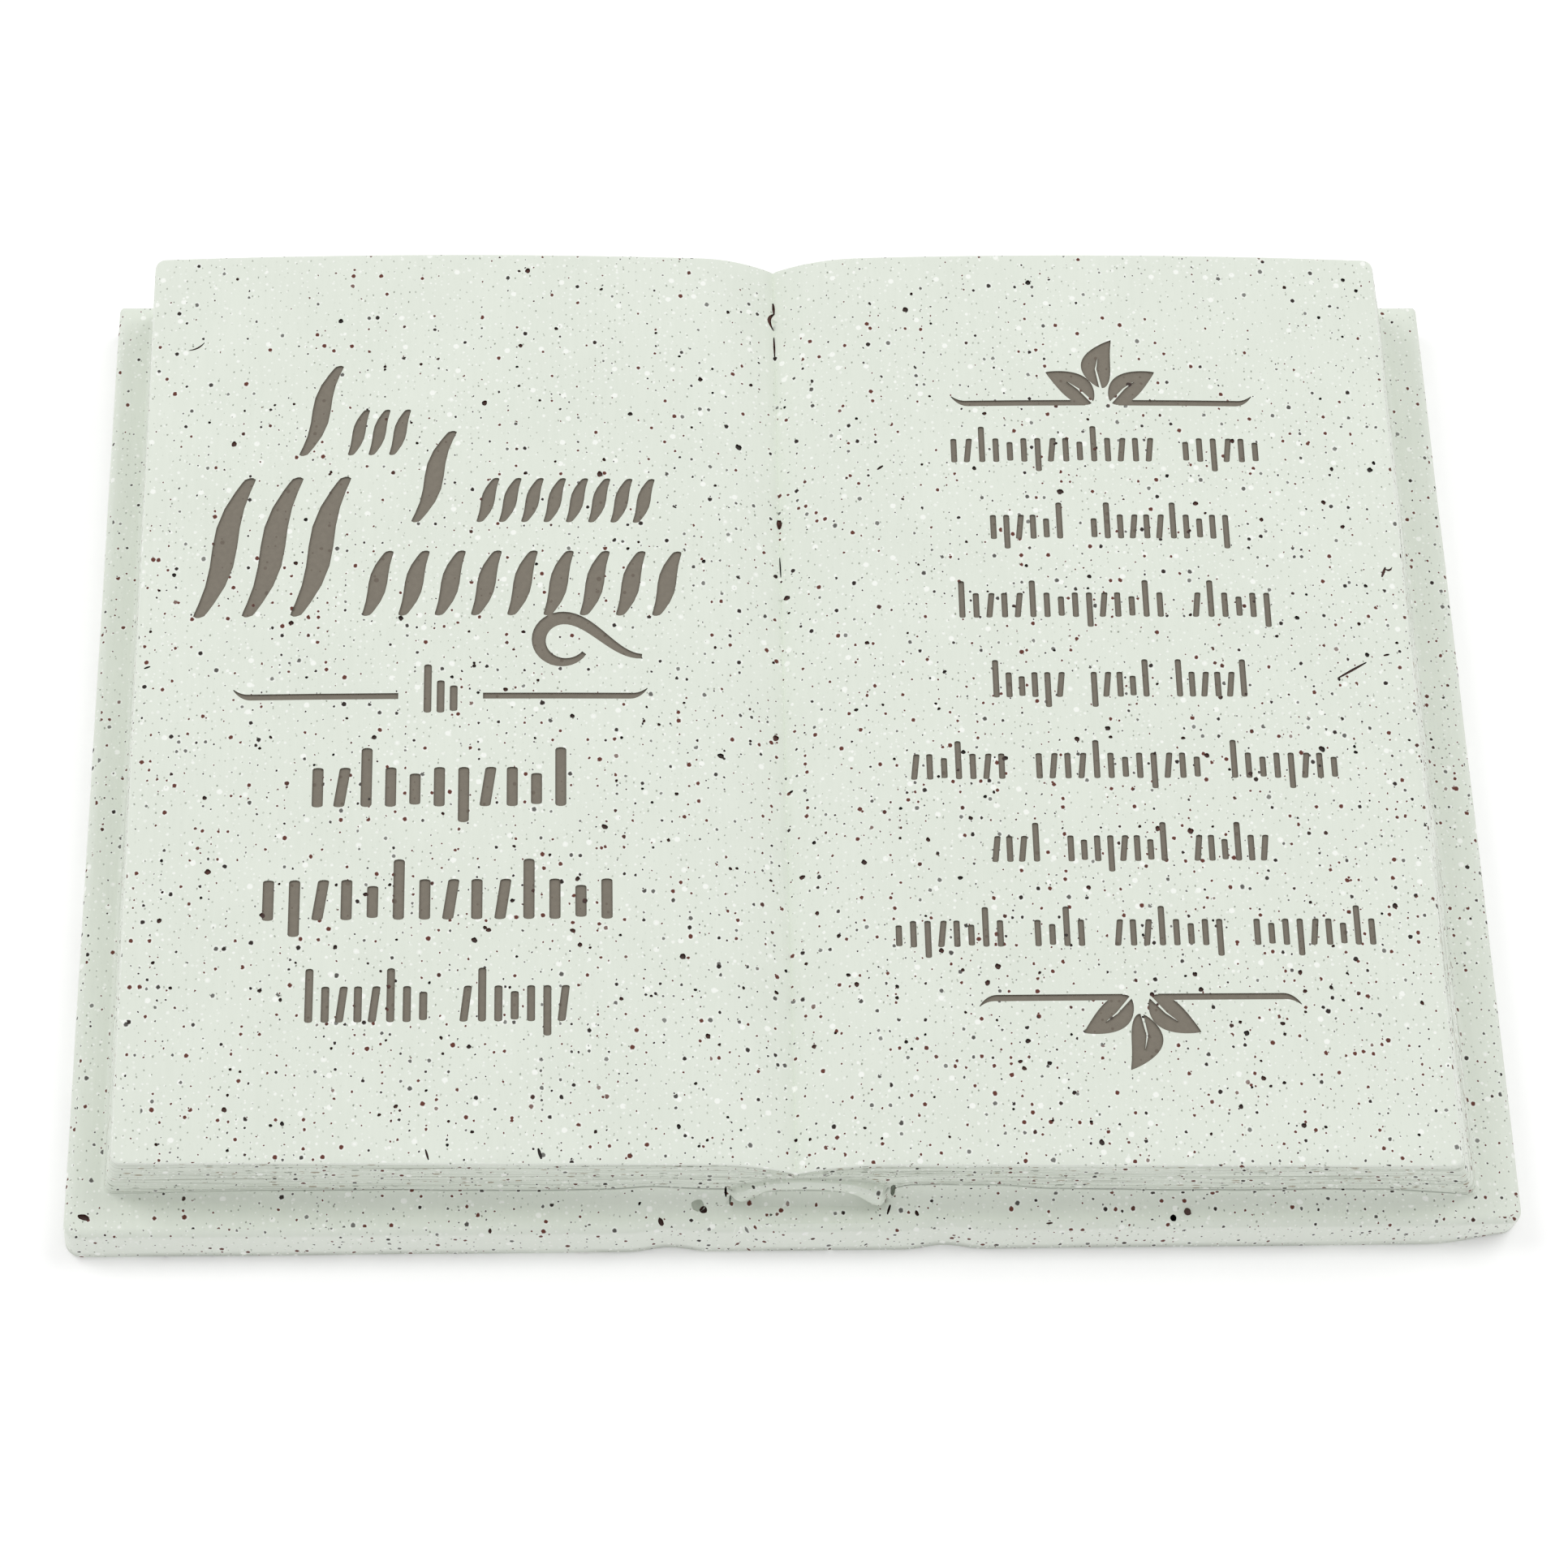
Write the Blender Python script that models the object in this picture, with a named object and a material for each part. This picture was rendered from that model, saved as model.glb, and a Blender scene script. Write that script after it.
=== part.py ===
# Open book memorial, cast in one piece: a flat cover slab with a soft spine, a wedge of pages that
# falls into a gutter, an arched hollow under each end of the spine, and engraved fields on both pages.
# Metres, +Z up, the reader at -Y. The origin is on the ground under the middle of the cover.

import math

import bmesh
import bpy
from mathutils import Vector
from mathutils.geometry import delaunay_2d_cdt

# Cover slab
COVER_WIDTH = 0.180
COVER_DEPTH = 0.138
COVER_THICKNESS = 0.0062
COVER_DRAFT = 0.0003           # the sides lean out this much from the top down to the underside
COVER_EDGE_RADIUS = 0.0012
COVER_FOOT_RADIUS = 0.0005
FRONT_CORNER_RADIUS = 0.0022
BACK_CORNER_RADIUS = 0.0010
SPINE_X = 0.0012               # middle of the spine, of its arches and of the hinge grooves
HINGE_OFFSET = 0.0170          # from the middle of the spine to each hinge groove
HINGE_WIDTH = 0.010
HINGE_DEPTH = 0.0006

# Ledges of cover that show round the foot of the pages
LEDGE_LEFT = 0.0051
LEDGE_RIGHT = 0.0058
LEDGE_FRONT = 0.0058           # at the left end
LEDGE_BACK = 0.0014
PAGE_SKEW = 0.0019             # how much nearer the reader the front of the pages stands at its right end

# Page block
PAGE_HEIGHT_FRONT = 0.0094
PAGE_HEIGHT_BACK = 0.0143
PAGE_CORNER_RADIUS = 0.0012
LEAN_LEFT = 0.0018             # how far each side leans in from its foot to the page surface
LEAN_RIGHT = 0.0034
LEAN_FRONT = 0.0001
LEAN_BACK = 0.0014
PAGE_CROWN = 0.0013            # swell of each page at the back, which dies out towards the front
PAGE_LINE_COUNT = 4            # grooves between the sheaves of pages, all round the block
PAGE_LINE_WIDTH = 0.0009
PAGE_LINE_DEPTH = 0.0002
PAGE_ROOT = 0.002              # how far the block runs down into the cover

# Gutter between the two pages
GUTTER_X = -0.0004
GUTTER_DEPTH = 0.0028
GUTTER_REACH_LEFT = 0.0095
GUTTER_REACH_RIGHT = 0.0125
GUTTER_POWER_LEFT = 1.5
GUTTER_POWER_RIGHT = 1.9

# Arched lining and hollow at each end of the spine
ARCH_WIDTH = 0.0212
ARCH_HEIGHT = 0.0050
LINING_THICKNESS = 0.0018
LINING_PROUD = 0.0007
HOLLOW_REACH = 0.0034
HOLLOW_DIP = 0.0014            # how far the hollow sinks into the cover
ARCH_STEPS = 14
LINING_LENGTH = 0.006          # how much of the lining is joined to the block

# Engraving
ENGRAVING_DEPTH = 0.0004
JOIN_DISTANCE = 0.000002       # points of the engraving closer than this are one
PAGE_MIDDLE = 0.53             # share of a page's width from the gutter to the middle of its rows
ROW_STROKE = 0.00072           # stroke width in the rows of the right page
ROW_HEIGHT = 0.0036            # height of a plain stroke in those rows
FIRST_ROW = 0.751              # share of the page's depth from its front to the foot of the first row
ROW_PITCH = 0.0895
WORD_GAP = 1.6                 # gap between two groups, in strokes
STROKE_SHARE = 0.6             # most of its place in the row that a stroke may fill
TALL_STROKE = 1.5              # height of a tall stroke and depth of a low one, in plain strokes
LOW_STROKE = 0.4
STROKE_LEAN = 0.16             # sideways reach of a leaning or bowed stroke, in plain strokes
HEADING_LEAN = 0.34
HEADING_HOOK = 0.07
HEADING_TAPER = 0.35           # width of a heading stroke at its ends, as a share of its middle

# Sprigs of three leaves in a gap between two rules
RULE_WIDTH = 0.00085
RULE_HALF_GAP = 0.0022
RULE_HALF_LENGTH = 0.0200
RULE_CURL = 0.00095
LEAF_LENGTH = 0.0077
LEAF_WIDTH = 0.0040
VEIN_WIDTH = 0.00035           # bare vein from the root of each leaf, which narrows to nothing
VEIN_REACH = 0.6               # share of the leaf's length that it runs
SIDE_LEAF_ROOT = 0.0012        # from the middle of the sprig to the root of a side leaf
TOP_LEAF_ROOT = 0.0022         # from the rules to the root of the leaf in the middle
SIDE_LEAF_TURN = 52            # degrees from straight up the page
TOP_LEAF_TURN = 13
SIDE_LEAF_BEND = 0.0006        # how far the middle of each leaf bows out to one side
TOP_LEAF_BEND = 0.0013

# Share of the page's width that each row on the right page takes, and the strokes in each of its groups
RIGHT_ROWS = (
    (0.514, (15, 6)),
    (0.397, (6, 11)),
    (0.511, (15, 6)),
    (0.413, (6, 5, 6)),
    (0.681, (7, 12, 8)),
    (0.438, (4, 8, 6)),
    (0.752, (8, 4, 8, 9)),
)
# The same for the left page, with the share of the depth, the height and the width of its strokes
LEFT_ROWS = (
    (0.366, 0.406, (11,), 0.0055, 0.0012),
    (0.246, 0.547, (14,), 0.0055, 0.0012),
    (0.140, 0.402, (8, 7), 0.0048, 0.0009),
    (0.468, 0.060, (3,), 0.0046, 0.0009),
)
# Swash strokes at the head of the left page: shares of the page's width from its fore-edge and of its
# depth from the front, height, width, and how many stand side by side over what share of the width
LEFT_SWASHES = (
    (0.275, 0.760, 0.0137, 0.0017, 1, 0.0),
    (0.335, 0.760, 0.0069, 0.0015, 3, 0.065),
    (0.455, 0.682, 0.0137, 0.0019, 1, 0.0),
    (0.540, 0.682, 0.0066, 0.0016, 8, 0.245),
    (0.130, 0.576, 0.0206, 0.0022, 3, 0.150),
    (0.370, 0.576, 0.0095, 0.0021, 9, 0.450),
)
# Shares of the page's depth from its front to the rules, and the rules of the left page
HEAD_RULE = 0.8205
FOOT_RULE = 0.1605
LEFT_RULE = 0.4865
LEFT_RULE_HALF_GAP = 0.0053
LEFT_RULE_HALF_LENGTH = 0.0263
# Tail under the heading: shares of the left page for its start, then the sizes of its wave and its curl
TAIL_ACROSS = 0.780
TAIL_DEPTH = 0.5305
TAIL_REACH = 0.0100
TAIL_RISE = 0.0055
TAIL_CURL = 0.0032
TAIL_WIDTH = 0.0019

# Worked out from the sizes above
PAGE_LEFT = -COVER_WIDTH / 2 + LEDGE_LEFT + LEAN_LEFT
PAGE_RIGHT = COVER_WIDTH / 2 - LEDGE_RIGHT - LEAN_RIGHT
PAGE_FRONT = -COVER_DEPTH / 2 + LEDGE_FRONT + LEAN_FRONT
PAGE_BACK = COVER_DEPTH / 2 - LEDGE_BACK - LEAN_BACK
LEFT_WIDTH = GUTTER_X - PAGE_LEFT
RIGHT_WIDTH = PAGE_RIGHT - GUTTER_X
PAGE_DEPTH = PAGE_BACK - PAGE_FRONT


def clear_scene():
    for old in list(bpy.data.objects):
        bpy.data.objects.remove(old, do_unlink=True)


def mix(a, b, share):
    return a + (b - a) * share


def page_top(x, y):
    """Height of the page surface: a wedge, a low crown on each page and the fall into the gutter."""
    along = (y - PAGE_FRONT) / PAGE_DEPTH
    away = abs(x - GUTTER_X)
    if x < GUTTER_X:
        width, reach, power = LEFT_WIDTH, GUTTER_REACH_LEFT, GUTTER_POWER_LEFT
    else:
        width, reach, power = RIGHT_WIDTH, GUTTER_REACH_RIGHT, GUTTER_POWER_RIGHT
    across = min(away / width, 1.0)
    crown = PAGE_CROWN * along * 4 * across * (1 - across)
    fall = GUTTER_DEPTH * max(0.0, 1 - away / reach) ** power
    return COVER_THICKNESS + mix(PAGE_HEIGHT_FRONT, PAGE_HEIGHT_BACK, along) + crown - fall


def make_object(name, bm):
    bmesh.ops.recalc_face_normals(bm, faces=bm.faces)
    mesh = bpy.data.meshes.new(name)
    bm.to_mesh(mesh)
    bm.free()
    made = bpy.data.objects.new(name, mesh)
    bpy.context.scene.collection.objects.link(made)
    return made


def as_guide(guide):
    guide.hide_render = True
    guide.display_type = "WIRE"
    return guide


def combine(body, guide, operation):
    modifier = body.modifiers.new(guide.name, "BOOLEAN")
    modifier.object = guide
    modifier.operation = operation
    modifier.solver = "EXACT"


def loft(bm, rings):
    """Skins a stack of rings with the same number of points and closes both ends."""
    layers = [[bm.verts.new(point) for point in ring] for ring in rings]
    count = len(rings[0])
    for lower, upper in zip(layers, layers[1:]):
        for i in range(count):
            j = (i + 1) % count
            bm.faces.new((lower[i], lower[j], upper[j], upper[i]))
    bm.faces.new(reversed(layers[0]))
    bm.faces.new(layers[-1])


def hinge_dip(x):
    """How far the front and back edges of the cover draw in at the hinge grooves beside the spine."""
    from_groove = abs(abs(x - SPINE_X) - HINGE_OFFSET) / (HINGE_WIDTH / 2)
    if from_groove >= 1:
        return 0.0
    return HINGE_DEPTH * (0.5 + 0.5 * math.cos(math.pi * from_groove))


def cover_outline(inset):
    """Plan of the cover, drawn in by inset, anticlockwise from the front left corner."""
    half_width = COVER_WIDTH / 2 - inset
    half_depth = COVER_DEPTH / 2 - inset
    corner_steps = 4
    groove_steps = 4
    corners = (
        (-1, -1, FRONT_CORNER_RADIUS, math.pi),
        (1, -1, FRONT_CORNER_RADIUS, 1.5 * math.pi),
        (1, 1, BACK_CORNER_RADIUS, 0.0),
        (-1, 1, BACK_CORNER_RADIUS, 0.5 * math.pi),
    )
    points = []
    for number, (side_x, side_y, radius, start) in enumerate(corners):
        rounding = max(radius - inset, BACK_CORNER_RADIUS / 10)
        centre_x = side_x * (half_width - rounding)
        centre_y = side_y * (half_depth - rounding)
        for step in range(corner_steps + 1):
            angle = start + 0.5 * math.pi * step / corner_steps
            points.append((centre_x + rounding * math.cos(angle), centre_y + rounding * math.sin(angle)))
        if number in (0, 2):
            travel = 1 if number == 0 else -1
            for groove in (-1, 1):
                for step in range(-groove_steps, groove_steps + 1):
                    x = SPINE_X + travel * (groove * HINGE_OFFSET + step * HINGE_WIDTH / 2 / groove_steps)
                    points.append((x, side_y * (half_depth - hinge_dip(x))))
    return points


def build_cover():
    levels = (
        (COVER_FOOT_RADIUS, 0.0),
        (0.3 * COVER_FOOT_RADIUS, 0.3 * COVER_FOOT_RADIUS),
        (0.0, COVER_FOOT_RADIUS),
        (COVER_DRAFT, COVER_THICKNESS - COVER_EDGE_RADIUS),
        (COVER_DRAFT + 0.3 * COVER_EDGE_RADIUS, COVER_THICKNESS - 0.3 * COVER_EDGE_RADIUS),
        (COVER_DRAFT + COVER_EDGE_RADIUS, COVER_THICKNESS),
    )
    bm = bmesh.new()
    loft(bm, [[(x, y, z) for x, y in cover_outline(inset)] for inset, z in levels])
    return make_object("open_book", bm)


def page_columns():
    """X of each column of the page grid: close together in the gutter, where the surface bends."""
    gutter_shares = (0.15, 0.32, 0.5, 0.72, 1.0)
    left = [PAGE_LEFT, PAGE_LEFT + PAGE_CORNER_RADIUS]
    right = [PAGE_RIGHT, PAGE_RIGHT - PAGE_CORNER_RADIUS]
    for share in (0.2, 0.45, 0.7):
        left.append(mix(PAGE_LEFT, GUTTER_X - GUTTER_REACH_LEFT, share))
        right.append(mix(PAGE_RIGHT, GUTTER_X + GUTTER_REACH_RIGHT, share))
    for share in reversed(gutter_shares):
        left.append(GUTTER_X - GUTTER_REACH_LEFT * share)
        right.append(GUTTER_X + GUTTER_REACH_RIGHT * share)
    return left + [GUTTER_X] + right[::-1]


def page_rows():
    rows = [PAGE_FRONT, PAGE_FRONT + PAGE_CORNER_RADIUS]
    rows += [mix(PAGE_FRONT, PAGE_BACK, share) for share in (0.33, 0.66)]
    return rows + [PAGE_BACK - PAGE_CORNER_RADIUS, PAGE_BACK]


def front_shift(x):
    """How far the front of the pages runs out of square, from nothing at its left end."""
    return -PAGE_SKEW * (x - PAGE_LEFT) / (PAGE_RIGHT - PAGE_LEFT)


def page_border(columns, rows):
    """The rim of the page surface, anticlockwise, each point with the two ways in which its wall faces."""
    last_column = len(columns) - 1
    last_row = len(rows) - 1
    places = [(i, 0) for i in range(last_column)]
    places += [(last_column, j) for j in range(last_row)]
    places += [(i, last_row) for i in range(last_column, 0, -1)]
    places += [(0, j) for j in range(last_row, 0, -1)]
    cut = PAGE_CORNER_RADIUS * (1 - math.sqrt(0.5))
    border = []
    for i, j in places:
        face_x = (i == last_column) - (i == 0)
        face_y = (j == last_row) - (j == 0)
        x = columns[i]
        y = rows[j] + (front_shift(x) if j == 0 else 0.0)
        if face_x and face_y:
            x -= face_x * cut
            y -= face_y * cut
        border.append((x, y, face_x, face_y))
    return border


def page_levels():
    """Shares of the block's height with the depth of the page line there, from the foot up."""
    levels = [(0.0, 0.0)]
    half_line = PAGE_LINE_WIDTH / 2 / PAGE_HEIGHT_FRONT
    for line in range(PAGE_LINE_COUNT):
        middle = (line + 0.5) / PAGE_LINE_COUNT
        levels += [(middle - half_line, 0.0), (middle, PAGE_LINE_DEPTH), (middle + half_line, 0.0)]
    return levels + [(1.0, 0.0)]


def build_page_surface(bm, border, columns, rows):
    """Fills the rim with triangles that follow the pages and sinks the engraving. Returns the rim."""
    points = [(x, y) for x, y, _, _ in border]
    faces = [list(range(len(points)))]
    folds = []
    for x in columns[1:-1]:
        start = len(points)
        points += [(x, y) for y in rows[1:-1]]
        if -GUTTER_REACH_LEFT <= x - GUTTER_X <= GUTTER_REACH_RIGHT:
            folds += [(n, n + 1) for n in range(start, len(points) - 1)]
    for shape in engraving_shapes():
        faces.append(list(range(len(points), len(points) + len(shape))))
        points += shape
    flat, _, triangles, origins, _, owners = delaunay_2d_cdt(
        [Vector(point) for point in points], folds, faces, 1, JOIN_DISTANCE)
    level = {}
    floor = {}
    edges = {}
    for triangle, owner in zip(triangles, owners):
        sunk = any(number > 0 for number in owner)
        heights = floor if sunk else level
        for n in triangle:
            if n not in heights:
                x, y = flat[n]
                heights[n] = bm.verts.new((x, y, page_top(x, y) - (ENGRAVING_DEPTH if sunk else 0.0)))
        bm.faces.new([heights[n] for n in triangle])
        if sunk:
            for a, b in zip(triangle, triangle[1:] + triangle[:1]):
                edges[a, b] = True
        else:
            for a, b in zip(triangle, triangle[1:] + triangle[:1]):
                edges.setdefault((a, b), False)
    for (a, b), sunk in edges.items():
        if sunk and edges.get((b, a)) is False:
            bm.faces.new((floor[b], floor[a], level[a], level[b]))
    place = {origin: n for n, found in enumerate(origins) for origin in found}
    return [level[place[n]] for n in range(len(border))]


def build_pages():
    """The page block: the engraved surface and walls that lean out to the foot, lined like page edges."""
    columns = page_columns()
    rows = page_rows()
    border = page_border(columns, rows)
    bm = bmesh.new()
    rim = build_page_surface(bm, border, columns, rows)

    def wall_point(number, share, line_depth):
        _, _, face_x, face_y = border[number]
        top = rim[number].co
        lean_x = LEAN_RIGHT if face_x > 0 else -LEAN_LEFT if face_x < 0 else 0.0
        lean_y = LEAN_BACK if face_y > 0 else -LEAN_FRONT if face_y < 0 else 0.0
        x = top.x + lean_x * (1 - share) - face_x * line_depth
        y = top.y + lean_y * (1 - share) - face_y * line_depth
        return (x, y, mix(COVER_THICKNESS, top.z, share))

    upper = rim
    count = len(rim)
    for share, line_depth in reversed(page_levels()[:-1]):
        lower = [bm.verts.new(wall_point(n, share, line_depth)) for n in range(count)]
        for n in range(count):
            m = (n + 1) % count
            bm.faces.new((lower[n], lower[m], upper[m], upper[n]))
        upper = lower
    root = [bm.verts.new((v.co.x, v.co.y, COVER_THICKNESS - PAGE_ROOT)) for v in upper]
    for n in range(count):
        m = (n + 1) % count
        bm.faces.new((root[n], root[m], upper[m], upper[n]))
    bm.faces.new(reversed(root))
    return as_guide(make_object("pages", bm))


def spine_end(side):
    """Y of the foot of the pages at the front (side -1) or the back (side 1)."""
    return PAGE_FRONT + front_shift(SPINE_X) - LEAN_FRONT if side < 0 else PAGE_BACK + LEAN_BACK


def build_lining(side):
    """The arched band that shows under the pages at one end of the spine."""
    foot = spine_end(side)
    outer = foot + side * LINING_PROUD
    inner = foot - side * LINING_LENGTH
    profile = []
    for step in range(ARCH_STEPS + 1):
        angle = math.pi * step / ARCH_STEPS
        x = SPINE_X + ARCH_WIDTH / 2 * math.cos(angle)
        profile.append((x, COVER_THICKNESS + ARCH_HEIGHT * math.sin(angle)))
    profile.append((SPINE_X - ARCH_WIDTH / 2, COVER_THICKNESS - PAGE_ROOT))
    profile.append((SPINE_X + ARCH_WIDTH / 2, COVER_THICKNESS - PAGE_ROOT))
    bm = bmesh.new()
    loft(bm, [[(x, y, z) for x, z in profile] for y in (outer, inner)])
    return as_guide(make_object(f"lining_{'front' if side < 0 else 'back'}", bm))


def build_hollow(side):
    """The hollow under the arch: rounded, deepest at the foot of the pages and dying out over the cover."""
    half_width = ARCH_WIDTH / 2 - LINING_THICKNESS
    rise = ARCH_HEIGHT - LINING_THICKNESS
    bm = bmesh.new()
    bmesh.ops.create_uvsphere(bm, u_segments=2 * ARCH_STEPS, v_segments=10, radius=1.0)
    for vert in bm.verts:
        height = rise if vert.co.z > 0 else HOLLOW_DIP
        vert.co = Vector((
            SPINE_X + vert.co.x * half_width,
            spine_end(side) + vert.co.y * HOLLOW_REACH,
            COVER_THICKNESS + vert.co.z * height,
        ))
    return as_guide(make_object(f"hollow_{'front' if side < 0 else 'back'}", bm))


def ribbon(line, half_widths):
    """Outline of a stroke along a line."""
    sides = {1: [], -1: []}
    for n, (x, y) in enumerate(line):
        before = Vector(line[max(n - 1, 0)])
        after = Vector(line[min(n + 1, len(line) - 1)])
        ahead = (after - before).normalized()
        for sign, side in sides.items():
            side.append((x + sign * ahead.y * half_widths[n], y - sign * ahead.x * half_widths[n]))
    return sides[1] + sides[-1][::-1]


def upright_stroke(x, foot, height, width, gesture):
    """One stroke of a row. The gesture says if it is plain, tall, low, leaning or bowed."""
    low, high, lean, bow = (
        (0.0, 1.0, 0.0, 0.0),
        (0.0, TALL_STROKE, 0.0, 0.0),
        (-LOW_STROKE, 1.0, 0.0, 0.0),
        (0.0, 1.0, STROKE_LEAN, 0.0),
        (0.0, 1.0, 0.0, -STROKE_LEAN),
    )[gesture]
    shares = (0.0, 0.5, 1.0) if bow else (0.0, 1.0)
    line = []
    for share in shares:
        sideways = lean * (share - 0.5) + bow * math.sin(math.pi * share)
        line.append((x + height * sideways, foot + height * mix(low, high, share)))
    return ribbon(line, [width / 2] * len(line))


def stroke_row(middle, foot, row_width, groups, height, width, row_number):
    """A row of upright strokes in groups, in place of a line of lettering."""
    order = (0, 3, 1, 0, 4, 0, 2, 3, 0, 4, 1, 0, 3)
    slots = sum(groups) + WORD_GAP * (len(groups) - 1)
    pitch = row_width / slots
    x = middle - row_width / 2 + pitch / 2
    shapes = []
    for group_number, count in enumerate(groups):
        for n in range(count):
            gesture = order[(n + 4 * group_number + 5 * row_number) % len(order)]
            shapes.append(upright_stroke(x, foot, height, min(width, STROKE_SHARE * pitch), gesture))
            x += pitch
        x += pitch * WORD_GAP
    return shapes


def swash(x, foot, height, width):
    """A leaning stroke that swells in the middle and hooks at both ends, for the large heading."""
    stations = 6
    line = []
    half_widths = []
    for n in range(stations):
        share = n / (stations - 1)
        sideways = HEADING_LEAN * (share - 0.5) + HEADING_HOOK * math.sin(2 * math.pi * share)
        line.append((x + height * sideways, foot + height * share))
        half_widths.append(width / 2 * mix(HEADING_TAPER, 1.0, math.sin(math.pi * share)))
    return ribbon(line, half_widths)


def tail():
    """The long tail under the heading: a wave to the left that ends in a curl."""
    start_x = PAGE_LEFT + TAIL_ACROSS * LEFT_WIDTH
    start_y = PAGE_FRONT + TAIL_DEPTH * PAGE_DEPTH
    wave_steps = 6
    curl_steps = 8
    line = []
    for n in range(wave_steps):
        share = n / wave_steps
        line.append((start_x - TAIL_REACH * share, start_y + TAIL_RISE * (1 - math.cos(math.pi * share)) / 2))
    centre_x = start_x - TAIL_REACH
    centre_y = start_y + TAIL_RISE - TAIL_CURL
    for n in range(curl_steps + 1):
        angle = math.radians(mix(90, 325, n / curl_steps))
        line.append((centre_x + TAIL_CURL * math.cos(angle), centre_y + TAIL_CURL * math.sin(angle)))
    last = len(line) - 1
    swell = [mix(HEADING_TAPER, 1.0, math.sin(math.pi * n / last)) for n in range(last + 1)]
    half_widths = [TAIL_WIDTH / 2 * share for share in swell]
    return ribbon(line, half_widths)


def rules(middle, y, half_gap, half_length, curl):
    """Two thin rules in line with a gap between them, their outer ends curling up or down."""
    shapes = []
    for side in (-1, 1):
        line = []
        for share in (0.0, 0.45, 0.9, 1.0):
            x = middle + side * mix(half_gap, half_length, share)
            line.append((x, y + curl * max(0.0, share - 0.9) * 10))
        shapes.append(ribbon(line, [RULE_WIDTH / 2, RULE_WIDTH / 2, RULE_WIDTH / 2, RULE_WIDTH / 8]))
    return shapes


def leaf(root_x, root_y, turn, bend, up):
    """Outline of a pointed leaf that grows from its root, with a bare vein let in from the root."""
    stations = 9
    along = Vector((math.sin(turn), math.cos(turn)))
    aside = Vector((math.cos(turn), -math.sin(turn)))

    def point(share, offset):
        bow = bend * 4 * share * (1 - share)
        place = along * (LEAF_LENGTH * share) + aside * (bow + offset)
        return (root_x + up * place.x, root_y + up * place.y)

    def half_width(share):
        return LEAF_WIDTH / 2 * math.sin(math.pi * share ** 0.72) ** 0.85

    shares = [n / stations for n in range(1, stations)]
    outline = [point(0.02, VEIN_WIDTH / 2)]
    outline += [point(share, half_width(share)) for share in shares]
    outline.append(point(1.0, 0.0))
    outline += [point(share, -half_width(share)) for share in reversed(shares)]
    outline.append(point(0.02, -VEIN_WIDTH / 2))
    outline.append(point(VEIN_REACH, 0.0))
    return outline


def sprig(middle, y, up):
    """Three leaves that fan out from the gap between two rules, up the page (1) or down it (-1)."""
    shapes = [leaf(middle, y + up * TOP_LEAF_ROOT, math.radians(TOP_LEAF_TURN), -TOP_LEAF_BEND, up)]
    for side in (-1, 1):
        turn = side * math.radians(SIDE_LEAF_TURN)
        shapes.append(leaf(middle + up * side * SIDE_LEAF_ROOT, y, turn, -side * SIDE_LEAF_BEND, up))
    return shapes


def engraving_shapes():
    """Outlines of everything that is engraved, seen from above. They may touch or cross."""
    middle = GUTTER_X + PAGE_MIDDLE * RIGHT_WIDTH
    shapes = []
    for number, (share, groups) in enumerate(RIGHT_ROWS):
        foot = PAGE_FRONT + PAGE_DEPTH * (FIRST_ROW - number * ROW_PITCH)
        shapes += stroke_row(middle, foot, share * RIGHT_WIDTH, groups, ROW_HEIGHT, ROW_STROKE, number)
    head = PAGE_FRONT + HEAD_RULE * PAGE_DEPTH
    foot = PAGE_FRONT + FOOT_RULE * PAGE_DEPTH
    shapes += rules(middle, head, RULE_HALF_GAP, RULE_HALF_LENGTH, RULE_CURL)
    shapes += sprig(middle, head, 1)
    shapes += rules(middle, foot, RULE_HALF_GAP, RULE_HALF_LENGTH, -RULE_CURL)
    shapes += sprig(middle, foot, -1)

    middle = GUTTER_X - PAGE_MIDDLE * LEFT_WIDTH
    for number, (depth, share, groups, height, width) in enumerate(LEFT_ROWS):
        foot = PAGE_FRONT + depth * PAGE_DEPTH
        shapes += stroke_row(middle, foot, share * LEFT_WIDTH, groups, height, width, number)
    foot = PAGE_FRONT + LEFT_RULE * PAGE_DEPTH
    shapes += rules(middle, foot, LEFT_RULE_HALF_GAP, LEFT_RULE_HALF_LENGTH, RULE_CURL)
    for across, depth, height, width, count, spread in LEFT_SWASHES:
        for n in range(count):
            x = PAGE_LEFT + LEFT_WIDTH * (across + spread * n / max(count - 1, 1))
            shapes.append(swash(x, PAGE_FRONT + depth * PAGE_DEPTH, height, width))
    shapes.append(tail())
    return shapes


def stone_material():
    material = bpy.data.materials.new("pale cast stone")
    material.use_nodes = True
    shader = material.node_tree.nodes["Principled BSDF"]
    shader.inputs["Base Color"].default_value = (0.72, 0.76, 0.69, 1.0)
    shader.inputs["Roughness"].default_value = 0.62
    shader.inputs["Metallic"].default_value = 0.0
    return material


def build():
    clear_scene()
    book = build_cover()
    book.data.materials.append(stone_material())
    combine(book, build_pages(), "UNION")
    for side in (-1, 1):
        combine(book, build_lining(side), "UNION")
    for side in (-1, 1):
        combine(book, build_hollow(side), "DIFFERENCE")


build()
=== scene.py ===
import math
import random

import bmesh
import bpy
from mathutils import Matrix, Vector, noise
from mathutils.geometry import delaunay_2d_cdt


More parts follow.
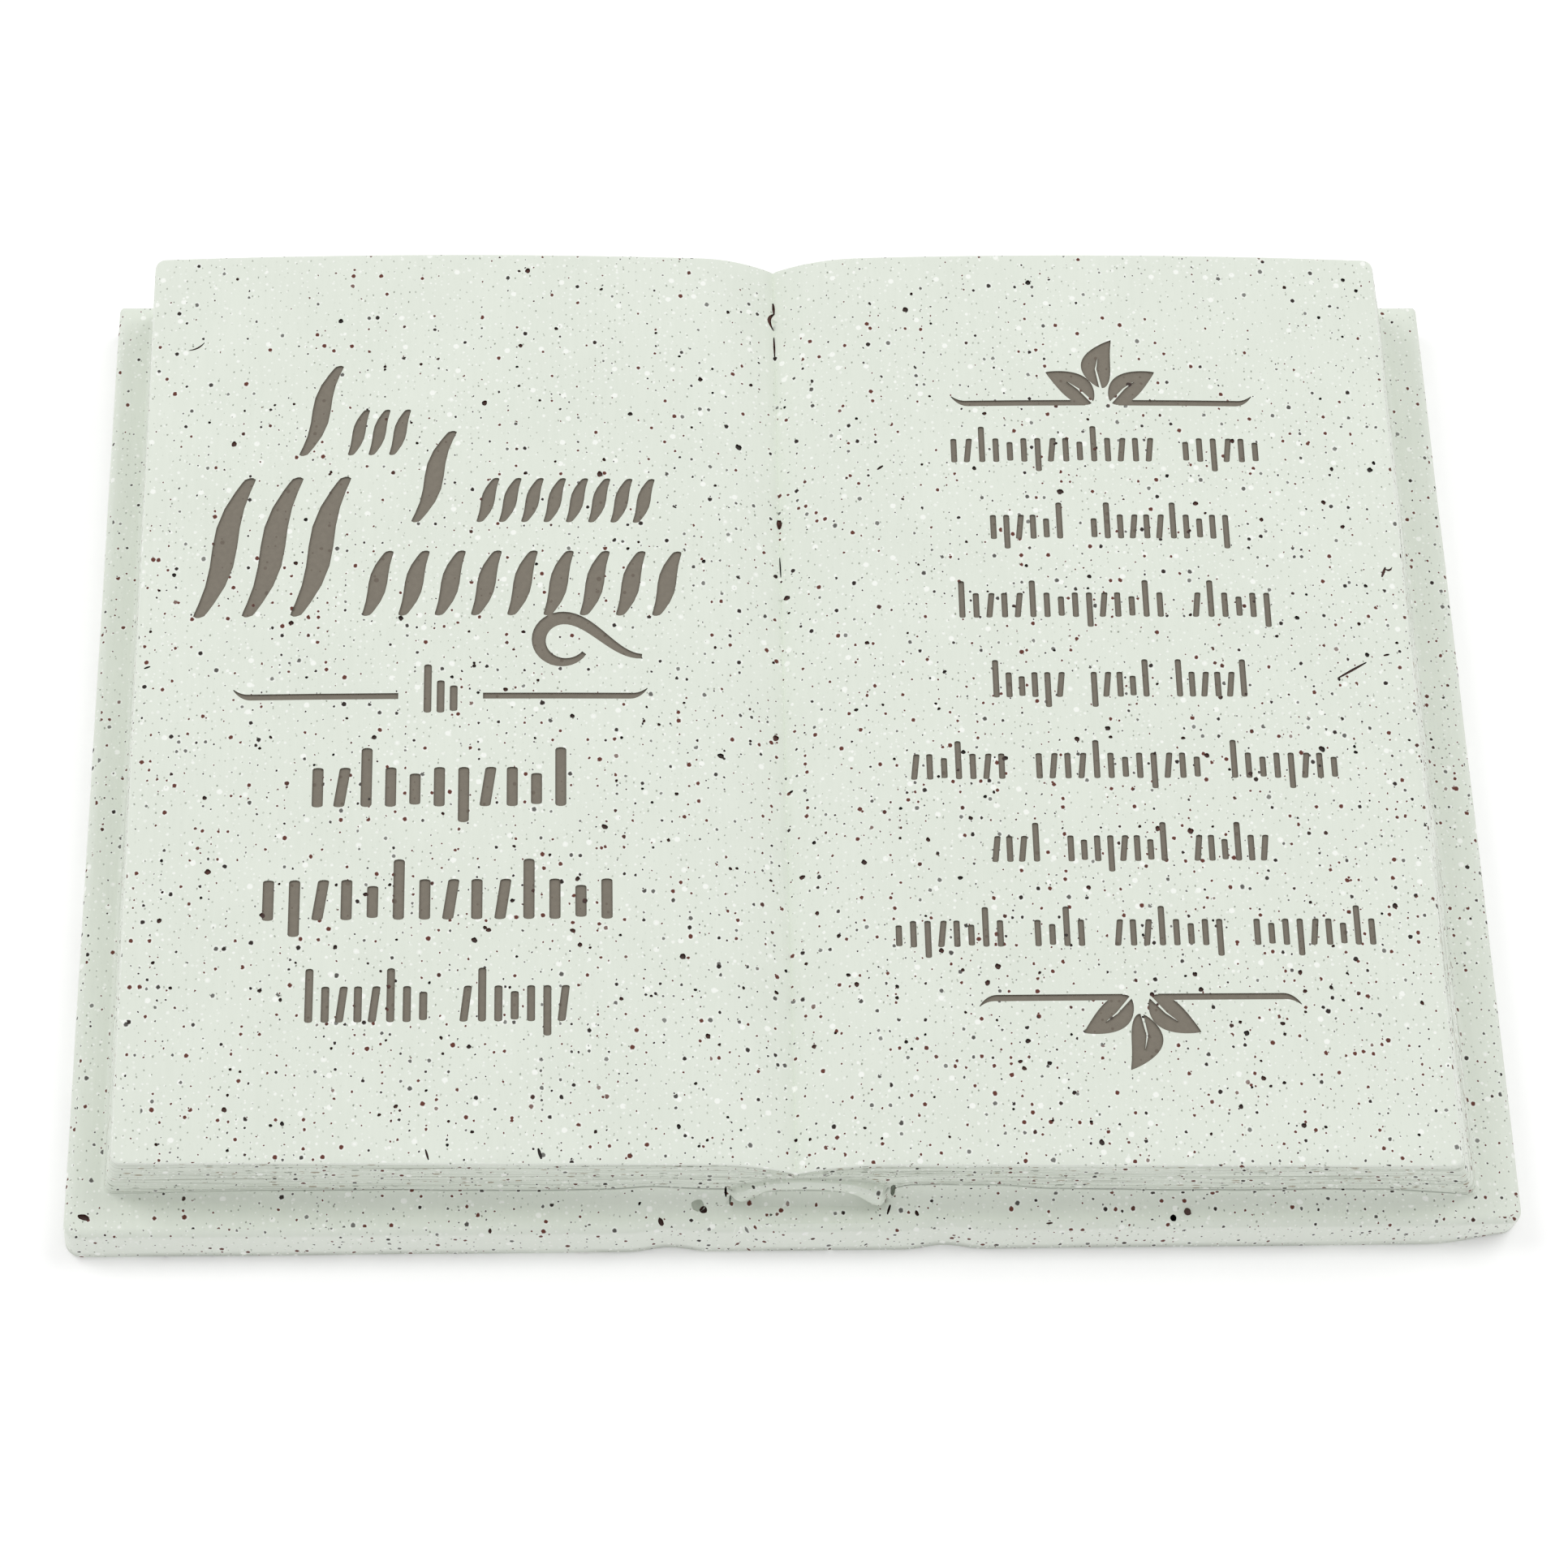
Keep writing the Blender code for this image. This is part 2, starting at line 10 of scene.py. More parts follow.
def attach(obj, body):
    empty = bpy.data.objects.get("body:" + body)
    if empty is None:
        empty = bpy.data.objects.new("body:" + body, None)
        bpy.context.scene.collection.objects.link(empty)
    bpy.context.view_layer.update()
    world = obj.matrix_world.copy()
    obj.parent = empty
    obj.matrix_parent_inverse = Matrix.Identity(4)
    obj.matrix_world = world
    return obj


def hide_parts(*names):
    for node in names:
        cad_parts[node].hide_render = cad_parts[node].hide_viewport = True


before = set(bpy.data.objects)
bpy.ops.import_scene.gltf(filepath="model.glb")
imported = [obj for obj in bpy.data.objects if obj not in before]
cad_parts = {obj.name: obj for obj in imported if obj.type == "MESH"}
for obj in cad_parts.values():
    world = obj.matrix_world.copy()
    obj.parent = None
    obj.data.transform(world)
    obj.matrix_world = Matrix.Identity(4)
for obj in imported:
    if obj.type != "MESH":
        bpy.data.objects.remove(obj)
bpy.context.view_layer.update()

# A small cast-stone memorial in the shape of an open book. Metres, +Z up, the reader at -Y.
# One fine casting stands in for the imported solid; its sizes are the solid's own.

cover = {
    "width": 0.180,
    "depth": 0.138,
    "thickness": 0.0062,
    "draft": 0.0003,
    "edgeRadius": 0.0012,
    "footRadius": 0.0005,
    "backShare": 0.55,        # the back edge is rounded this much as deep, and its hinge dips less
    "backDip": 0.35,
    "frontCorner": 0.0022,
    "backCorner": 0.0010,
    "hingeOffset": 0.0170,
    "hingeWidth": 0.010,
    "hingeDepth": 0.0006,
    "wornReach": 0.013,       # the foot of the right front corner is worn back over this length
    "wornDepth": 0.0016,
    "ledgeSteps": 13,
}

pages = {
    "ledgeLeft": 0.0051,
    "ledgeRight": 0.0058,
    "ledgeFront": 0.0058,
    "ledgeBack": 0.0014,
    "skew": 0.0019,
    "heightFront": 0.0094,
    "heightBack": 0.0143,
    "corner": 0.0012,
    "leanLeft": 0.0018,
    "leanRight": 0.0034,
    "leanFront": 0.0001,
    "leanBack": 0.0014,
    "crown": 0.0013,
    "edgeRadius": 0.00022,
    "sheets": 12,             # lines between sheets on the walls of the block
    "sheetLine": 0.00013,     # depth of the deepest of them
    "footGroove": 0.00026,    # a dark line along the foot of the walls
    "spacing": 0.00125,       # of the mesh on the pages
}

gutter = {
    "x": -0.0004,
    "depth": 0.0028,
    "crease": 0.0002,         # a fine crease at the bottom of it
    "creaseReach": 0.0005,
    "reachLeft": 0.0095,
    "reachRight": 0.0125,
    "powerLeft": 1.9,
    "powerRight": 2.3,
}

spine = {
    "x": 0.0012,
    "archWidth": 0.0212,
    "archHeight": 0.0050,
    "lining": 0.0018,         # thickness of the band under the arch
    "backProud": 0.0003,
    "hollowReach": 0.0056,
    "hollowDip": 0.0003,
    "hollowDepth": 0.0002,    # how far the front goes back under the band, and out again at its foot
    "hollowFill": 0.0014,
    "left": -0.0088,          # where the band shows in front, and how soon its ends die into the foot
    "right": 0.0113,
    "fade": 0.0012,
}

# Lines of the front wall in millimetres, read from the photo: x, then the height over the cover.
# For bandProud it is how far the band stands out, which was chosen one by one
frontLines = {
    "bandTop": ((-9.5, 1.9), (-8.6, 2.4), (-6.2, 3.6), (-3.2, 4.7), (0.0, 5.15), (4.0, 5.1), (7.5, 4.6),
                (9.6, 3.8), (11.0, 3.1), (12.0, 2.6)),
    "bandProud": ((-9.5, 0.5), (-8.2, 0.9), (-7.0, 1.25), (-5.6, 0.8), (-2.0, 0.65), (4.0, 0.7),
                  (7.0, 0.95), (9.6, 1.7), (10.9, 1.5), (12.0, 0.5)),
    "bandFoot": ((-9.5, 1.7), (-8.4, 1.5), (-7.2, 0.9), (-6.0, 0.8), (-5.0, 1.7), (-3.9, 2.9), (-1.0, 3.15),
                 (2.5, 3.2), (5.6, 2.8), (7.4, 2.0), (8.6, 1.2), (10.2, 0.6), (12.0, 0.3)),
    "foot": ((-84.0, 0.35), (-72.0, 1.2), (-57.0, 1.8), (-30.0, 1.9), (-23.0, 2.2), (-18.0, 3.0),
             (-8.5, 2.3), (11.0, 2.5), (14.0, 3.7), (25.0, 3.6), (31.0, 2.7), (48.0, 2.4), (70.0, 2.6),
             (77.0, 1.6), (82.0, 0.4)),
}


def blend(a, b, share):
    return a + (b - a) * share


def ease(value):
    value = min(max(value, 0.0), 1.0)
    return value * value * (3 - 2 * value)


def through(points, x):
    # a smooth line through a few points, level beyond its ends
    last = len(points) - 1
    if x <= points[0][0]:
        return points[0][1]
    if x >= points[last][0]:
        return points[last][1]
    n = max(number for number in range(last) if points[number][0] <= x)

    def slope(k):
        before, after = points[max(k - 1, 0)], points[min(k + 1, last)]
        return (after[1] - before[1]) / (after[0] - before[0])

    (x0, y0), (x1, y1) = points[n], points[n + 1]
    span = x1 - x0
    t = (x - x0) / span
    return ((2 * t ** 3 - 3 * t ** 2 + 1) * y0 + (t ** 3 - 2 * t ** 2 + t) * span * slope(n)
            + (3 * t ** 2 - 2 * t ** 3) * y1 + (t ** 3 - t ** 2) * span * slope(n + 1))


halfWidth = cover["width"] / 2
halfDepth = cover["depth"] / 2
pageLeft = -halfWidth + pages["ledgeLeft"] + pages["leanLeft"]
pageRight = halfWidth - pages["ledgeRight"] - pages["leanRight"]
pageFront = -halfDepth + pages["ledgeFront"] + pages["leanFront"]
pageBack = halfDepth - pages["ledgeBack"] - pages["leanBack"]
leftWidth = gutter["x"] - pageLeft
rightWidth = pageRight - gutter["x"]
pageDepth = pageBack - pageFront


def pageTop(x, y):
    # a wedge with a low crown on each page and the fall into the gutter
    along = (y - pageFront) / pageDepth
    away = abs(x - gutter["x"])
    if x < gutter["x"]:
        width, reach, power = leftWidth, gutter["reachLeft"], gutter["powerLeft"]
    else:
        width, reach, power = rightWidth, gutter["reachRight"], gutter["powerRight"]
    across = min(away / width, 1.0)
    crown = pages["crown"] * along * 4 * across * (1 - across)
    fall = gutter["depth"] * max(0.0, 1 - away / reach) ** power
    fall += gutter["crease"] * max(0.0, 1 - away / gutter["creaseReach"])
    return cover["thickness"] + blend(pages["heightFront"], pages["heightBack"], along) + crown - fall


def frontShift(x):
    return -pages["skew"] * (x - pageLeft) / (pageRight - pageLeft)


def hingeDip(x):
    fromGroove = abs(abs(x - spine["x"]) - cover["hingeOffset"]) / (cover["hingeWidth"] / 2)
    return cover["hingeDepth"] * (0.5 + 0.5 * math.cos(math.pi * min(fromGroove, 1.0)))


def archRise(x, width, height):
    across = (x - spine["x"]) / (width / 2)
    return height * math.sqrt(max(0.0, 1 - across * across))


# Engraving: the strokes are points that a node tree dresses with shapes, in rows where the lettering was

inscription = {
    "depth": 0.00025,
    "pageMiddle": 0.53,
    "rowStroke": 0.00080,
    "rowHeight": 0.0036,
    "firstRow": 0.751,
    "rowPitch": 0.0895,
    "wordGap": 1.6,
    "strokeShare": 0.60,
    "longFrom": 0.010,        # strokes of the heading above this are long ones
    "rightRows": (
        (0.514, (15, 6)),
        (0.397, (6, 11)),
        (0.511, (15, 6)),
        (0.413, (6, 5, 6)),
        (0.681, (7, 12, 8)),
        (0.438, (4, 8, 6)),
        (0.752, (8, 4, 8, 9)),
    ),
    "leftRows": (
        (0.366, 0.406, (11,), 0.0055, 0.0014),
        (0.246, 0.547, (14,), 0.0055, 0.0014),
        (0.140, 0.402, (8, 7), 0.0048, 0.0010),
        (0.468, 0.060, (3,), 0.0046, 0.0010),
    ),
    "heading": (
        (0.275, 0.760, 0.0137, 0.0024, 1, 0.0),
        (0.335, 0.760, 0.0069, 0.0017, 3, 0.065),
        (0.455, 0.682, 0.0137, 0.0025, 1, 0.0),
        (0.540, 0.682, 0.0066, 0.0018, 8, 0.245),
        (0.130, 0.576, 0.0206, 0.0032, 3, 0.150),
        (0.370, 0.576, 0.0095, 0.0024, 9, 0.450),
    ),
    "headRule": 0.8205,
    "footRule": 0.1605,
    "leftRule": 0.4865,
}

sprigs = {
    "ruleWidth": 0.00085,
    "ruleHalfGap": 0.0022,
    "ruleHalfLength": 0.0200,
    "ruleCurl": 0.0011,
    "leafLength": 0.0077,
    "leafWidth": 0.0040,
    "veinWidth": 0.00035,
    "veinReach": 0.6,
    "sideRoot": 0.0012,
    "topRoot": 0.0022,
    "sideTurn": 52,
    "topTurn": 13,
    "sideBend": 0.0006,
    "topBend": 0.0013,
}

tail = {
    "across": 0.780,
    "depth": 0.5305,
    "reach": 0.0100,
    "rise": 0.0055,
    "curl": 0.0032,
    "width": 0.0019,
}


def ribbon(line, halfWidths):
    left, right = [], []
    for n, (x, y) in enumerate(line):
        ahead = Vector(line[min(n + 1, len(line) - 1)]) - Vector(line[max(n - 1, 0)])
        ahead.normalize()
        right.append((x + ahead.y * halfWidths[n], y - ahead.x * halfWidths[n]))
        left.append((x - ahead.y * halfWidths[n], y + ahead.x * halfWidths[n]))
    return right + left[::-1]


def strokeShape(low, high, lean, bow, hook, taper, rounding):
    # one stroke of width 1 and height 1 that stands on the origin
    steps = (0.0, 0.012, 0.04, 0.1, 0.22, 0.36, 0.5, 0.64, 0.78, 0.9, 0.96, 0.988, 1.0)
    right, left = [], []
    for share in steps:
        x = lean * (share - 0.5) + bow * math.sin(math.pi * share) + hook * math.sin(2 * math.pi * share)
        toEnd = min(share, 1 - share) / rounding
        half = 0.5 * blend(taper, 1.0, math.sin(math.pi * share))
        if toEnd < 1:
            half *= math.sqrt(max(0.0, 1 - (1 - toEnd) ** 2)) * 0.75 + 0.25
        y = blend(low, high, share)
        right.append((x + half, y))
        left.append((x - half, y))
    return right + left[::-1]


strokeShapes = (
    strokeShape(0.0, 1.0, 0.0, 0.0, 0.0, 1.0, 0.05),       # plain
    strokeShape(0.0, 1.5, 0.0, 0.0, 0.0, 1.0, 0.04),       # tall
    strokeShape(-0.4, 1.0, 0.0, 0.0, 0.0, 1.0, 0.04),      # low
    strokeShape(0.0, 1.0, 0.55, 0.0, 0.0, 1.0, 0.05),      # leaning
    strokeShape(0.05, 0.84, 0.0, 0.0, 0.0, 1.0, 0.06),     # short
    strokeShape(0.0, 1.0, 1.25, 0.0, 0.12, 0.45, 0.03),    # short stroke of the heading
    strokeShape(0.0, 1.0, 1.95, 0.0, 0.22, 0.45, 0.02),    # long stroke of the heading
)


def grainShape(number):
    # a stone chip or pit about 1 across
    outline = []
    for n in range(12):
        angle = 2 * math.pi * n / 12
        cosine, sine = math.cos(angle), math.sin(angle)
        reach = 0.5 + 0.16 * noise.noise(Vector((1.3 * cosine, 1.3 * sine, number * 4.1)))
        outline.append((reach * cosine, reach * sine))
    return outline


grainKinds = 5
grainShapes = [grainShape(number) for number in range(grainKinds)]
grainShapes += [
    strokeShape(0.0, 1.0, 0.0, 0.0, 0.0, 0.5, 0.05),       # straight fibre
    strokeShape(0.0, 1.0, 0.0, 1.2, 0.0, 0.4, 0.05),       # bent fibre
]


def rowPoints(middle, foot, rowWidth, groups, height, width, rowNumber):
    order = (0, 3, 1, 0, 4, 0, 2, 3, 0, 4, 1, 0, 3)
    slots = sum(groups) + inscription["wordGap"] * (len(groups) - 1)
    pitch = rowWidth / slots
    x = middle - rowWidth / 2 + pitch / 2
    points = []
    for groupNumber, count in enumerate(groups):
        for n in range(count):
            gesture = order[(n + 4 * groupNumber + 5 * rowNumber) % len(order)]
            points.append((x, foot, min(width, inscription["strokeShare"] * pitch), height, gesture, 0.0))
            x += pitch
        x += pitch * inscription["wordGap"]
    return points


def strokePoints():
    points = []
    middle = gutter["x"] + inscription["pageMiddle"] * rightWidth
    for number, (share, groups) in enumerate(inscription["rightRows"]):
        foot = pageFront + pageDepth * (inscription["firstRow"] - number * inscription["rowPitch"])
        size = (inscription["rowHeight"], inscription["rowStroke"])
        points += rowPoints(middle, foot, share * rightWidth, groups, *size, number)
    middle = gutter["x"] - inscription["pageMiddle"] * leftWidth
    for number, (depth, share, groups, height, width) in enumerate(inscription["leftRows"]):
        foot = pageFront + depth * pageDepth
        points += rowPoints(middle, foot, share * leftWidth, groups, height, width, number)
    for across, depth, height, width, count, spread in inscription["heading"]:
        for n in range(count):
            x = pageLeft + leftWidth * (across + spread * n / max(count - 1, 1))
            gesture = 6 if height > inscription["longFrom"] else 5
            points.append((x, pageFront + depth * pageDepth, width, height, gesture, 0.0))
    return points


# The larger dark chips lie thicker towards the reader. About half of the scratches and fibres lie where
# the photo has one, the others are placed one by one. Each has its two ends in millimetres, its width, and
# 0 for straight or 1 for bent

grains = {
    "count": 330,
    "seed": 23,
    "least": 0.00036,
    "spread": 0.00042,
    "margin": 0.0012,
    "inFront": 1.1,            # how many of the drawn chips stay in front, and at the back
    "atBack": 0.22,
    "rarity": 2.5,             # the higher, the fewer large chips
    "widen": 1.7,              # fibres are cut this much wider than listed
    "fibres": (
        ((70.8, 2.0), (74.8, 4.4), 0.20, 0),
        ((77.9, 17.0), (78.5, 18.5), 0.22, 0),
        ((78.3, 18.3), (79.4, 18.5), 0.18, 1),
        ((-45.3, -61.6), (-44.9, -63.0), 0.16, 0),
        ((-31.7, -61.6), (-31.3, -63.0), 0.24, 0),
        ((-78.2, 51.7), (-76.1, 52.9), 0.14, 1),
        ((77.1, 5.4), (77.9, 5.6), 0.18, 0),
        ((-82.0, 4.2), (-81.2, 4.5), 0.16, 0),
        ((-0.45, 61.3), (-0.35, 59.4), 0.22, 0),
        ((-0.37, 59.6), (-0.48, 56.9), 0.30, 1),
        ((-0.45, 55.9), (-0.40, 52.7), 0.16, 0),
        ((-0.42, 27.6), (-0.38, 26.2), 0.42, 0),
        ((-0.45, 22.0), (-0.35, 19.0), 0.12, 0),
        ((12.5, 33.1), (13.3, 33.7), 0.2, 0),
    ),
}


def grainPoints():
    draw = random.Random(grains["seed"])
    points = []
    while len(points) < grains["count"]:
        x = draw.uniform(pageLeft + grains["margin"], pageRight - grains["margin"])
        share = draw.random()
        if draw.random() > blend(grains["inFront"], grains["atBack"], share):
            continue
        y = blend(pageFront + grains["margin"], pageBack - grains["margin"], share)
        size = grains["least"] + grains["spread"] * draw.random() ** grains["rarity"]
        height = size * draw.uniform(0.9, 1.25)
        kind = draw.randrange(grainKinds)
        points.append((x, y, size, height, kind, draw.uniform(0, 6.2)))
    for (x0, y0), (x1, y1), width, kind in grains["fibres"]:
        turn = math.atan2(x0 - x1, y1 - y0)
        wide = grains["widen"] * width / 1000
        length = math.hypot(x1 - x0, y1 - y0) / 1000
        points.append((x0 / 1000, y0 / 1000, wide, length, grainKinds + kind, turn))
    return points


def flatMesh(name, outlines):
    mesh = bpy.data.meshes.new(name)
    verts, faces = [], []
    for outline in outlines:
        faces.append(list(range(len(verts), len(verts) + len(outline))))
        verts += [(x, y, 0.0) for x, y in outline]
    mesh.from_pydata(verts, [], faces)
    return mesh


def setTree():
    # sets a shape on each point, by the point's own size, turn and kind
    tree = bpy.data.node_groups.new("setShapes", "GeometryNodeTree")
    faceIn = tree.interface.new_socket
    faceIn("Geometry", in_out="INPUT", socket_type="NodeSocketGeometry")
    faceIn("Shapes", in_out="INPUT", socket_type="NodeSocketCollection")
    factor = faceIn("Size Factor", in_out="INPUT", socket_type="NodeSocketFloat")
    factor.default_value = 1.0
    faceIn("Material", in_out="INPUT", socket_type="NodeSocketMaterial")
    faceIn("Geometry", in_out="OUTPUT", socket_type="NodeSocketGeometry")
    nodes, links = tree.nodes, tree.links
    start = nodes.new("NodeGroupInput")
    end = nodes.new("NodeGroupOutput")

    def attribute(name, kind):
        node = nodes.new("GeometryNodeInputNamedAttribute")
        node.data_type = kind
        node.inputs["Name"].default_value = name
        return node.outputs["Attribute"]

    shapes = nodes.new("GeometryNodeCollectionInfo")
    shapes.inputs["Separate Children"].default_value = True
    shapes.inputs["Reset Children"].default_value = True
    links.new(start.outputs["Shapes"], shapes.inputs["Collection"])
    scale = nodes.new("ShaderNodeVectorMath")
    scale.operation = "SCALE"
    links.new(attribute("size", "FLOAT_VECTOR"), scale.inputs[0])
    links.new(start.outputs["Size Factor"], scale.inputs["Scale"])
    place = nodes.new("GeometryNodeInstanceOnPoints")
    place.inputs["Pick Instance"].default_value = True
    links.new(start.outputs["Geometry"], place.inputs["Points"])
    links.new(shapes.outputs["Instances"], place.inputs["Instance"])
    links.new(attribute("kind", "INT"), place.inputs["Instance Index"])
    links.new(scale.outputs["Vector"], place.inputs["Scale"])
    turned = nodes.new("GeometryNodeRotateInstances")
    links.new(place.outputs["Instances"], turned.inputs["Instances"])
    links.new(attribute("turn", "FLOAT_VECTOR"), turned.inputs["Rotation"])
    real = nodes.new("GeometryNodeRealizeInstances")
    links.new(turned.outputs["Instances"], real.inputs["Geometry"])
    finish = nodes.new("GeometryNodeSetMaterial")
    links.new(real.outputs["Geometry"], finish.inputs["Geometry"])
    links.new(start.outputs["Material"], finish.inputs["Material"])
    links.new(finish.outputs["Geometry"], end.inputs["Geometry"])
    return tree


def setInput(modifier, name, value):
    for item in modifier.node_group.interface.items_tree:
        if item.item_type == "SOCKET" and item.in_out == "INPUT" and item.name == name:
            modifier[item.identifier] = value


def settled(obj):
    # the evaluated object as a plain mesh, its modifiers gone
    bpy.context.view_layer.update()
    graph = bpy.context.evaluated_depsgraph_get()
    mesh = bpy.data.meshes.new_from_object(obj.evaluated_get(graph))
    obj.modifiers.clear()
    obj.data = mesh
    return obj


def setOnPoints(name, meshes, places, sizes, turns, kinds, material):
    # one mesh with a shape on every place, made by the node tree
    shapes = bpy.data.collections.new(name)
    bpy.context.scene.collection.children.link(shapes)
    made = []
    for number, mesh in enumerate(meshes):
        shape = bpy.data.objects.new(f"{name}{number}", mesh)
        shapes.objects.link(shape)
        made.append(shape)
    mesh = bpy.data.meshes.new(name)
    mesh.from_pydata(places, [], [])
    for attribute, values in (("size", sizes), ("turn", turns)):
        data = mesh.attributes.new(attribute, "FLOAT_VECTOR", "POINT").data
        for item, value in zip(data, values):
            item.vector = value
    for item, value in zip(mesh.attributes.new("kind", "INT", "POINT").data, kinds):
        item.value = value
    holder = bpy.data.objects.new(name, mesh)
    bpy.context.scene.collection.objects.link(holder)
    modifier = holder.modifiers.new("setShapes", "NODES")
    modifier.node_group = bpy.data.node_groups.get("setShapes") or setTree()
    setInput(modifier, "Shapes", shapes)
    setInput(modifier, "Material", material)
    settled(holder)
    for obj in made:
        bpy.data.objects.remove(obj, do_unlink=True)
    bpy.data.collections.remove(shapes)
    return holder


def outlinesOn(name, shapes, points, material):
    # flat outlines set on points, read back from the mesh
    holder = setOnPoints(name, [flatMesh(name, [shape]) for shape in shapes],
                         [(x, y, 0.0) for x, y, _, _, _, _ in points],
                         [(width, height, 1.0) for _, _, width, height, _, _ in points],
                         [(0.0, 0.0, turn) for _, _, _, _, _, turn in points],
                         [kind for _, _, _, _, kind, _ in points], material)
    verts = holder.data.vertices
    outlines = [[tuple(verts[n].co[:2]) for n in face.vertices] for face in holder.data.polygons]
    bpy.data.objects.remove(holder, do_unlink=True)
    return outlines


def ruleOutlines(middle, y, halfGap, halfLength, curl):
    outlines = []
    steps = 8
    for side in (-1, 1):
        line = [(middle + side * halfGap, y), (middle + side * blend(halfGap, halfLength, 0.5), y)]
        halves = [sprigs["ruleWidth"] / 2] * 2
        for n in range(steps + 1):
            share = n / steps
            line.append((middle + side * (halfLength - 0.0022 * (1 - share)), y + curl * share ** 2.2))
            halves.append(sprigs["ruleWidth"] / 2 * blend(1.0, 0.12, share ** 1.5))
        outlines.append(ribbon(line, halves))
    return outlines


def leafOutline(rootX, rootY, turn, bend, up):
    steps = 26
    along = Vector((math.sin(turn), math.cos(turn)))
    aside = Vector((math.cos(turn), -math.sin(turn)))

    def point(share, offset):
        bow = bend * 4 * share * (1 - share)
        place = along * (sprigs["leafLength"] * share) + aside * (bow + offset)
        return (rootX + up * place.x, rootY + up * place.y)

    def half(share):
        return sprigs["leafWidth"] / 2 * math.sin(math.pi * share ** 0.72) ** 0.85

    shares = [(n / steps) ** 1.15 for n in range(1, steps)]
    outline = [point(0.01, sprigs["veinWidth"] / 2)]
    outline += [point(share, half(share)) for share in shares]
    outline.append(point(1.0, 0.0))
    outline += [point(share, -half(share)) for share in reversed(shares)]
    outline.append(point(0.01, -sprigs["veinWidth"] / 2))
    outline.append(point(sprigs["veinReach"] * 0.6, -sprigs["veinWidth"] * 0.28))
    outline.append(point(sprigs["veinReach"], 0.0))
    outline.append(point(sprigs["veinReach"] * 0.6, sprigs["veinWidth"] * 0.28))
    return outline


def sprigOutlines(middle, y, up):
    outlines = [leafOutline(middle, y + up * sprigs["topRoot"], math.radians(sprigs["topTurn"]),
                            -sprigs["topBend"], up)]
    for side in (-1, 1):
        turn = side * math.radians(sprigs["sideTurn"])
        outlines.append(leafOutline(middle + up * side * sprigs["sideRoot"], y, turn,
                                    -side * sprigs["sideBend"], up))
    return outlines


def tailOutline():
    startX = pageLeft + tail["across"] * leftWidth
    startY = pageFront + tail["depth"] * pageDepth
    line = []
    for n in range(16):
        share = n / 16
        rise = tail["rise"] * (1 - math.cos(math.pi * share)) / 2
        line.append((startX - tail["reach"] * share, startY + rise))
    centreX = startX - tail["reach"]
    centreY = startY + tail["rise"] - tail["curl"]
    for n in range(25):
        angle = math.radians(blend(90, 325, n / 24))
        line.append((centreX + tail["curl"] * math.cos(angle), centreY + tail["curl"] * math.sin(angle)))
    last = len(line) - 1
    halves = [tail["width"] / 2 * blend(0.35, 1.0, math.sin(math.pi * n / last)) for n in range(last + 1)]
    return ribbon(line, halves)


def ornamentOutlines():
    middle = gutter["x"] + inscription["pageMiddle"] * rightWidth
    head = pageFront + inscription["headRule"] * pageDepth
    foot = pageFront + inscription["footRule"] * pageDepth
    gap, length, curl = sprigs["ruleHalfGap"], sprigs["ruleHalfLength"], sprigs["ruleCurl"]
    outlines = ruleOutlines(middle, head, gap, length, curl) + sprigOutlines(middle, head, 1)
    outlines += ruleOutlines(middle, foot, gap, length, -curl) + sprigOutlines(middle, foot, -1)
    middle = gutter["x"] - inscription["pageMiddle"] * leftWidth
    level = pageFront + inscription["leftRule"] * pageDepth
    outlines += ruleOutlines(middle, level, 0.065 * leftWidth, 0.318 * leftWidth, curl)
    return outlines + [tailOutline()]


# The casting is one skin: the pages, then ring after ring down their walls, out over the ledge and
# round the cover to the underside. Every ring has the same stations.

stationPlan = {
    "fineStart": -0.0125,     # stations stand closer round the spine
    "fineStep": 0.00045,
    "fineCount": 62,
    "step": 0.0013,
    "leastGap": 0.00022,
    "cornerSteps": 7,
    "still": 0.03,            # a ring wider than the pages moves its stations only beyond this
    "easeLeft": 0.05,
    "easeRight": 0.047,
}


def sideStations():
    start, step = stationPlan["fineStart"], stationPlan["fineStep"]
    near = [start + n * step for n in range(stationPlan["fineCount"])]
    first, last = pageLeft + pages["corner"], pageRight - pages["corner"]
    spread = []
    for start, end in ((first, near[0]), (near[-1], last)):
        count = round((end - start) / stationPlan["step"])
        spread += [blend(start, end, n / count) for n in range(count + 1)]
    places = sorted(spread + near)
    kept = [places[0]]
    for place in places[1:]:
        if place - kept[-1] > stationPlan["leastGap"]:
            kept.append(place)
    kept[-1] = last
    return kept


def stations():
    across = sideStations()
    low, high = pageFront + pages["corner"], pageBack - pages["corner"]
    count = round((pageDepth - 2 * pages["corner"]) / stationPlan["step"])
    upward = [blend(low, high, n / count) for n in range(count + 1)]
    steps = stationPlan["cornerSteps"]
    sides = (
        [("front", x) for x in across],
        [("right", y) for y in upward],
        [("back", x) for x in reversed(across)],
        [("left", y) for y in reversed(upward)],
    )
    made = []
    for number, side in enumerate(sides):
        made += [(f"corner{number}", (n + 1) / steps) for n in range(steps - 1)]
        made += side
    return made


def ring(left, right, front, back, frontCorner, backCorner, skew, dip):
    return {"left": left, "right": right, "front": front, "back": back, "skew": skew, "dip": dip,
            "corners": (frontCorner, frontCorner, backCorner, backCorner)}


def coverRing(inset):
    smallest = 0.0002
    back = halfDepth - inset * cover["backShare"]
    corners = [max(cover[name] - inset, smallest) for name in ("frontCorner", "backCorner")]
    return ring(-halfWidth + inset, halfWidth - inset, -halfDepth + inset, back, *corners, 0.0, 1.0)


